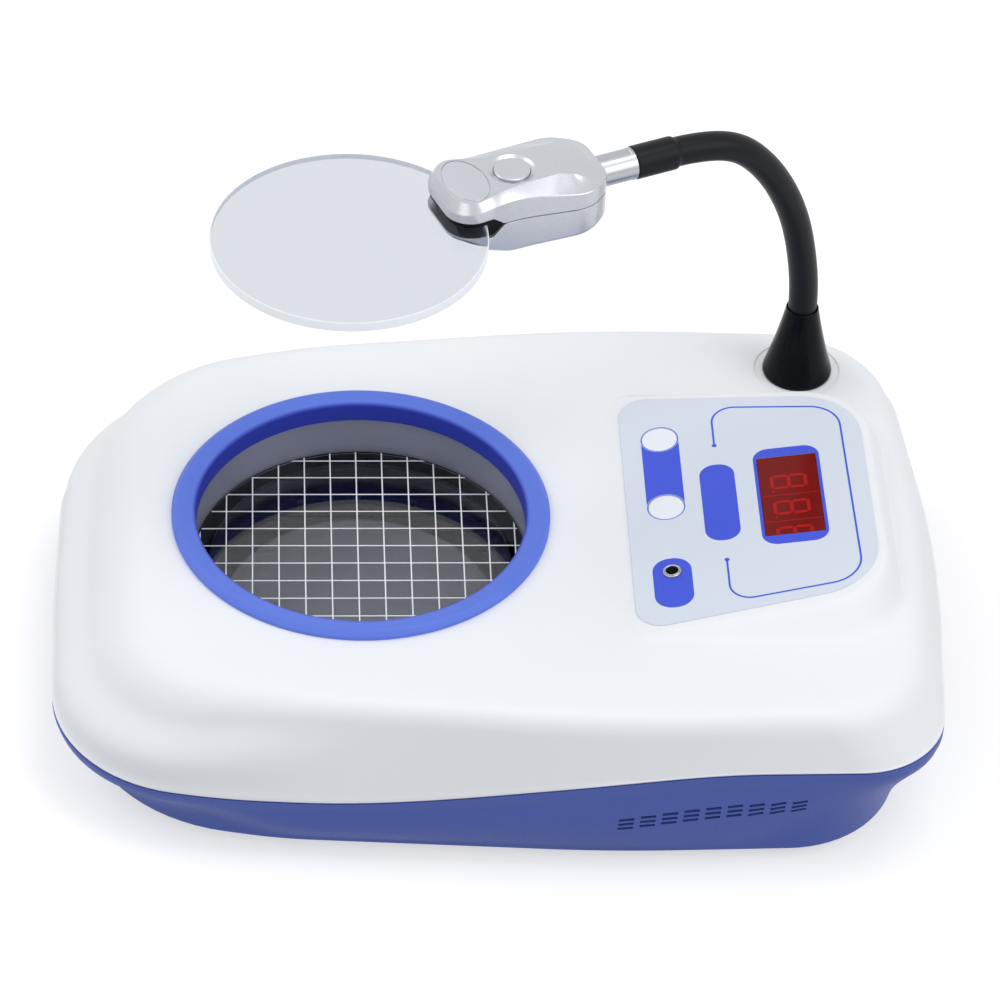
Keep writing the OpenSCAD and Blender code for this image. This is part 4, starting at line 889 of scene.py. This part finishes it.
def makeNeck():
    h = neck["coneHigh"]
    # the cone's side is a shallow hollow curve from its foot to its mouth
    u = np.linspace(0, 1, 24)
    (wide, slim), (start, less) = neck["coneR"], neck["coneSide"]
    side = [wide + (slim - wide) * u - neck["hollow"] * np.sin(math.pi * u), start + (h - less) * u]
    mouth = [(r, h - down) for r, down in neck["mouth"]]
    cone = lathePatch(neck["coneFoot"] + np.column_stack(side).tolist() + mouth, 96)
    addPiece(meshOf("neckCone", placed([cone], neckOrigin, armAxes), 34), "base", "coneBlack",
             ["neck_cone"])
    lengths = len(neck["bends"])
    want, x, z, angle = neckPath(lengths * neck["perLength"] + 1)
    w = np.linspace(0, 2 * math.pi, neck["around"], endpoint=False)
    before, run = neck["flare"]
    thick = neck["r"] + (neck["endR"] - neck["r"]) * smooth((want - (lengths - before)) / run)
    # ring k: the circle across the path, turned by the heading there
    across = np.stack([np.cos(angle)[:, None] * np.cos(w), np.broadcast_to(np.sin(w), (len(want), len(w))),
                       -np.sin(angle)[:, None] * np.cos(w)], -1)
    rings = np.stack([x, np.zeros_like(x), z], -1)[:, None] + across * thick[:, None, None]
    centres = placed([(np.stack([x, 0 * x, z], -1), None)], neckOrigin, armAxes)[0][0]
    bodies = ["base"] + ["neck_%d" % k for k in range(1, lengths)] + ["head"]
    per = neck["perLength"]
    half = per // 2
    for k in range(lengths):
        first = 0 if k == 0 else k * per - half
        last = lengths * per if k == lengths - 1 else k * per + half
        rows = list(rings[first:last + 1])
        if k == 0:
            # the first sleeve starts down in the cone's mouth
            rows = [rings[0] - np.array([0, 0, neck["sunk"]])] + rows
        if k == lengths - 1:
            # the last one turns in at its end, where it meets the ferrule
            back, outer, inner = neck["tail"]
            tail = rows[-1]
            mid = tail.mean(0)
            along = np.array([1.0, 0, 0])
            rows = rows[:-1] + [tail - along * back, mid + (tail - mid) * outer, mid + (tail - mid) * inner]
        start = centres[first] * mm
        end = centres[min(last, k * per + half)] * mm
        sleeve = meshOf("neckSleeve%d" % (k + 1), placed([gridPatch(rows)], neckOrigin, armAxes), 50)
        addPiece(sleeve, None, "neckRubber", ["neck_%d" % (k + 1)],
                 (bodies[k], bodies[k + 1], tuple(start), tuple(end)))


makeNeck()
print("gooseneck made")


# Magnifier head: s runs from the lens centre back to the neck, z is up from the arm's axis
head = {"rear": 99.2, "ferruleEnd": 114.3, "ferruleR": 6,
        "side": [(99.2, 11.5, 10), (88, 19.3, 14), (61, 14.9, 60), (35, 17.2, 10)],
        "flat": 11.6, "edge": (6.6, 2.8, 60, 20), "chamfer": (2.2, 0.2, 46, 32), "tailEase": (84, 12, 4.2),
        "scoop": (81.5, 0.035), "fall": (0.13, 0.005), "low": 15.1, "chin": (58, 0.43, 60, 0.094),
        "lip": -6.9, "slot": (50.5, 55), "lensLow": -4.3, "gasketTop": 3.6, "seam": (0.45, 0.5),
        "buttonS": 64.6, "buttonR": 6.8, "dishR": 9.2, "inlay": (45.9, 7.7, 12.6),
        "dishDeep": 0.9, "shaftDeep": 3.6, "gap": 0.25, "grooveDeep": 0.35, "stem": (1.6, 5, 2.6),
        "crown": (0.86, 0.1, 0.12), "roll": (3.2, 2.6, 0.7), "gasket": (14.6, 46, 0.7, 0.4),
        "pad": (1.7, 0.05, 0.2), "heel": (-4.2, 1.65, 0.15)}


# The end of the neck as its lengths give it, and the lens centre beyond it
def neckTip():
    x, z, a = 0.0, neck["coneHigh"], 0.0
    for bend in np.radians(neck["bends"]):
        chord = neck["step"] if bend == 0 else 2 * neck["step"] / bend * math.sin(bend / 2)
        x, z, a = x + chord * math.sin(a + bend / 2), z + chord * math.cos(a + bend / 2), a + bend
    return np.array([x + head["ferruleEnd"], 0, z])


def headPlaced(patches):
    return placed(patches, neckOrigin + neckTip() @ armAxes, np.diag((-1, -1, 1)) @ armAxes)


# The head in plan, moved in by an inset: one side's corners and their mirror
def headOutline(inset=0.0):
    side = [(x, -y, r) for x, y, r in reversed(head["side"])] + head["side"]
    outline = rounded(side, 12, 8)
    return insetOutline(outline, np.broadcast_to(inset, len(outline))[:, None])


# Height of the head's top: flat over the front, then falling away behind a curved crease
def headTop(s, y):
    past = np.maximum(0, s - head["scoop"][0] + head["scoop"][1] * y ** 2)
    return head["flat"] - head["fall"][0] * past - head["fall"][1] * past ** 2


# Height of the crisp edge between side wall and chamfer, highest at the waist by a bell curve
def edgeHeight(s):
    low, rise, middle, spread = head["edge"]
    return low + rise * np.exp(-((s - middle) / spread) ** 2)


# Width of the chamfer in plan: narrow at the nose, wide at the rear, and eased in again round the tail
def chamferWidth(s):
    base, rate, start, run = head["chamfer"]
    tail, ease, back = head["tailEase"]
    return base + rate * np.clip(s - start, 0, run) - back * smooth((s - tail) / ease)


def ellipse(s, a, b, count=96):
    w = np.linspace(0, 2 * math.pi, count, endpoint=False)
    return np.stack([s + a * np.cos(w), b * np.sin(w)], 1)


# The lower rim of the top shell: over the gasket at the nose, ramping down to the seam behind the lens
def topRim(s):
    return np.interp(s, head["slot"], (head["gasketTop"], 0.05))


def lowRim(s):
    return np.interp(s, head["slot"], (head["lensLow"], -0.05))


def makeHeadTop():
    h = head
    side = headOutline()
    edge = edgeHeight(side[:, 0])
    width = chamferWidth(side[:, 0])
    rim = topRim(side[:, 0])
    # a shadow gap runs along the seam with the lower shell
    tall, deep = h["seam"]
    step = headOutline(deep)
    rows = [lift(step, rim), lift(step, rim + tall), lift(side, rim + tall), lift(side, edge - 0.25)]
    # the chamfer swells slightly between its two edges
    for u in np.linspace(0.03, 1, 10):
        f = headOutline(width * u)
        rows.append(lift(f, edge + (headTop(f[:, 0], f[:, 1]) - edge) * u * (1.06 - 0.06 * u)))
    dishRim = circle(h["buttonS"], 0, h["dishR"], 72)
    s, a, b = h["inlay"]
    gap, z = h["gap"], h["flat"]
    groove, inner = ellipse(s, a + gap, b + gap), ellipse(s, a, b)
    # the dish round the button falls by a power of a quarter wave to the button's shaft
    span = h["dishR"] - h["buttonR"] - gap
    fall = [lift(circle(h["buttonS"], 0, h["dishR"] - span * u, 72),
                 z - h["dishDeep"] * math.sin(u * math.pi / 2) ** 1.5) for u in np.linspace(0, 1, 10)]
    shaft = lift(circle(h["buttonS"], 0, h["buttonR"] + gap, 72), z - h["shaftDeep"])
    sunk = z - h["grooveDeep"]
    patches = [gridPatch(rows), fillPatch(rows[-1][:, :2], [dishRim, groove], headTop, 1.1),
               fillPatch(rows[0][:, :2], [], lambda x, y: topRim(x), 2.0, facing=-1),
               gridPatch(fall + [shaft]), flatFill(shaft[:, :2], z - h["shaftDeep"]),
               gridPatch([lift(groove, z), lift(groove, sunk), lift(inner, sunk)]), flatFill(inner, sunk)]
    addPiece(meshOf("headTopShell", headPlaced(patches), 15), "head", "headSilver",
             ["head_top"])
    plate = [lift(ellipse(s, a - e, b - e), z + d)
             for e, d in ((0.02, -0.3), (0.02, -0.08), (0.1, -0.02), (0.3, 0))]
    patches = [gridPatch(plate), flatFill(plate[-1][:, :2], z), flatFill(plate[0][:, :2], z - 0.3, facing=-1)]
    addPiece(meshOf("headInlay", headPlaced(patches), 28), "head", "inlaySilver",
             ["head_inlay"])
    # the button: a cap with a rolled rim and a slight crown, over its stem
    r, (stem, deep, under), (share, foot, rise) = h["buttonR"], h["stem"], h["crown"]
    crown = [(r * share * math.cos(q), z + foot + rise * math.sin(q))
             for q in np.linspace(0, math.pi / 2, 10)]
    cap = [(0, z - deep), (stem, z - deep), (stem, z - under), (r, z - under), (r, z - 0.4),
           (r - 0.12, z - 0.12), (r - 0.4, z + 0.03)] + crown
    button = headPlaced(placed([lathePatch(cap, 72)], (h["buttonS"], 0, 0)))
    addPiece(meshOf("headButton", button, 36), "head_button", "headSilver", ["head_button"])


# The lower shell's depth: full at the chin, rising steeply to a thin lip under the lens and gently to the
# rear, each time along a hyperbola that starts softly
def headDepth(s):
    front, steep, back, gentle = head["chin"]
    rise = lambda away: (away + np.sqrt(away ** 2 + 6)) / 2
    return np.minimum(head["lip"], -head["low"] + steep * rise(front - s) + gentle * rise(s - back))


def makeHeadLower():
    side = headOutline()
    rim = lowRim(side[:, 0])
    wide, tall, share = head["roll"]
    roll = np.minimum(tall, share * (rim - headDepth(side[:, 0])))
    rows = []
    # the belly rolls into the side over a quarter ellipse
    for a in np.linspace(0, math.pi / 2, 8):
        f = headOutline(wide * (1 - math.sin(a)) + 0.02)
        rows.append(lift(f, headDepth(f[:, 0]) + roll * (1 - math.cos(a))))
    rows += [lift(side, rim - 0.06), lift(headOutline(0.06), rim)]
    patches = [gridPatch(rows), fillPatch(rows[0][:, :2], [], lambda x, y: headDepth(x), 2.0, facing=-1),
               fillPatch(rows[-1][:, :2], [], lambda x, y: lowRim(x), 2.0)]
    addPiece(meshOf("headLowerShell", headPlaced(patches), 30), "head", "headSilver",
             ["head_lower"])


# Gasket: a pad between the top shell and the lens, and a heel that fills the slot behind the lens
def makeGasket():
    half, noseEnd, inset, short = head["gasket"]
    back = head["slot"][1] - short
    nose = headOutline(inset)
    nose = nose[nose[:, 0] < noseEnd]
    nose = nose[np.argsort(np.arctan2(nose[:, 1], noseEnd - nose[:, 0]))[::-1]]
    pad = np.concatenate([nose, [(back, -half), (back, half)]])
    arc = np.linspace(half, -half, 40)
    padLow, gap, bevel = head["pad"]
    heelLow, heelTop, clear = head["heel"]
    r = lensShape["r"] + clear
    heel = np.concatenate([np.column_stack([np.sqrt(r ** 2 - arc ** 2), arc]), [(back, -half), (back, half)]])
    patches = platePatches(pad, [], padLow, head["gasketTop"] - gap, bevel)
    patches += platePatches(heel, [], heelLow, heelTop)
    addPiece(meshOf("lensGasket", headPlaced(patches), 30, 1e-7), "head", "gasketRubber",
             ["lens_gasket"])


# Lens: two shallow spherical caps within a ground rim
lensShape = {"r": 50.5, "rim": 4.2, "crown": 0.8, "rows": 30}


def makeLens():
    r, half, crown = lensShape["r"], lensShape["rim"] / 2, lensShape["crown"]
    ball = (r * r + crown * crown) / (2 * crown)
    # the caps' height follows from the ball's radius; the rim is a piece of its own finish
    x = np.linspace(0, r - 0.15, lensShape["rows"])
    cap = half - 0.2 + crown - (ball - np.sqrt(ball ** 2 - x ** 2))
    profile = np.concatenate([np.column_stack([x, -cap]), np.column_stack([x, cap])[::-1]])
    disc = placed([lathePatch(profile, 192)], (0, 0, -half))
    addPiece(meshOf("lensDisc", headPlaced(disc), 30), "head", "lensGlass", ["lens"])
    edge = float(cap[-1])
    # the rim's section reaches a little way into the glass, so its inner face is what shows at the edge
    low, high, inner = -edge - 0.03, edge + 0.03, r - 0.4
    band = rounded([(inner, low, 0.02), (r, low, 0.3), (r, high, 0.3), (inner, high, 0.02)], 5)
    rim = placed([lathePatch(band, 192, True)], (0, 0, -half))
    addPiece(meshOf("lensRim", headPlaced(rim), 30), "head", "lensEdgePaintedGlow")


# Ferrule: a turned tube with chamfered ends and a fine collar at the sleeve
def makeFerrule():
    r, a, b = head["ferruleR"], head["rear"] - 9, head["ferruleEnd"] - 0.05
    tube = [(0, a), (r - 0.4, a), (r, a + 0.4), (r, b - 1.5), (r + 0.12, b - 1.35), (r + 0.12, b - 0.2),
            (r, b), (0, b)]
    ferrule = placed([lathePatch(tube, 80)], (0, 0, 0), [(0, 1, 0), (0, 0, 1), (1, 0, 0)])
    addPiece(meshOf("ferruleTube", headPlaced(ferrule), 30), "head", "chromeSatin", ["ferrule"])


makeHeadTop()
makeHeadLower()
makeGasket()
makeLens()
makeFerrule()
print("head made")


# CAD nodes that keep their own shape get their finish here
kept = {"gridInk": ["grid_print"],
        "boardGreen": ["control_board", "supply_board", "head_light_board", "lamp_strip"],
        "moduleDark": ["display_module"],
        "blackAbs": ["key_switches", "power_inlet", "switch_frame", "power_rocker"],
        "coreLacquer": ["transformer"],
        "diodeResin": ["head_diodes"],
        "zincSteel": ["cover_screws", "board_screws", "supply_screws", "neck_nut", "head_screws"]}
for name, nodes in kept.items():
    for node in nodes:
        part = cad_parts[node]
        part.data.materials.clear()
        part.data.materials.append(finishes[name])
print("finishes assigned")


# Studio: a pale floor, soft lamps and a white surround
studio = {"floor": "#C4C4C6", "glow": 0.56, "ambient": 0.56, "reach": 6, "floorZ": -0.0005,
          "aim": (0, 0, 0.06),
          "lamps": [((-0.5, -1.6, 1.7), 1.6, 13.0), ((0.8, 1.5, 1.2), 1.3, 9.0), ((1.5, -0.9, 0.9), 1.2, 3.5),
                    ((0.1, 0.5, 2.2), 0.9, 10.0)]}


# 1 for a ray that shows the surround to the eye: straight, in a gloss, or through glass
def seenByEye(tree):
    ray = addNode(tree, "ShaderNodeLightPath", {})
    seen = addNode(tree, "ShaderNodeMath", {0: ray.outputs["Is Camera Ray"], 1: ray.outputs["Is Glossy Ray"]},
                   operation="MAXIMUM")
    return addNode(tree, "ShaderNodeMath", {0: seen.outputs[0], 1: ray.outputs["Is Transmission Ray"]},
                   operation="MAXIMUM").outputs[0]


def makeFloor():
    ends = (-studio["reach"], studio["reach"])
    x, y = np.meshgrid(ends, ends)
    mesh = bpy.data.meshes.new("studioFloor")
    corners = np.column_stack([x.ravel(), y.ravel(), np.full(4, studio["floorZ"])])
    mesh.from_pydata(corners.tolist(), [], [(0, 1, 3, 2)])
    floor = bpy.data.objects.new("studioFloor", mesh)
    bpy.context.scene.collection.objects.link(floor)
    material = bpy.data.materials.new("matt_paper_floor")
    material.use_nodes = True
    tree = material.node_tree
    tree.nodes.clear()
    glow = addNode(tree, "ShaderNodeMath", {0: seenByEye(tree), 1: studio["glow"]}, operation="MULTIPLY")
    paper = addNode(tree, "ShaderNodeBsdfDiffuse", {"Color": linear(studio["floor"])})
    light = addNode(tree, "ShaderNodeEmission", {"Strength": glow.outputs[0]})
    both = addNode(tree, "ShaderNodeAddShader", {0: paper.outputs[0], 1: light.outputs[0]})
    addNode(tree, "ShaderNodeOutputMaterial", {"Surface": both.outputs[0]})
    mesh.materials.append(material)


def makeLight():
    world = bpy.data.worlds.new("studioWorld")
    bpy.context.scene.world = world
    world.use_nodes = True
    tree = world.node_tree
    tree.nodes.clear()
    strength = addNode(tree, "ShaderNodeMapRange", {"Value": seenByEye(tree), "To Min": studio["ambient"],
                                                    "To Max": 1.0})
    light = addNode(tree, "ShaderNodeBackground", {"Color": (1, 1, 1, 1), "Strength": strength.outputs[0]})
    addNode(tree, "ShaderNodeOutputWorld", {"Surface": light.outputs[0]})
    for k, (place, size, power) in enumerate(studio["lamps"]):
        lamp = bpy.data.objects.new("softLamp%d" % k, bpy.data.lights.new("softLamp%d" % k, "AREA"))
        bpy.context.scene.collection.objects.link(lamp)
        lamp.data.size, lamp.data.energy = size, power
        lamp.location = place
        lamp.rotation_euler = (Vector(studio["aim"]) - Vector(place)).to_track_quat("-Z", "Y").to_euler()
    bpy.context.scene.view_settings.view_transform = "Standard"


makeFloor()
makeLight()
print("studio made")
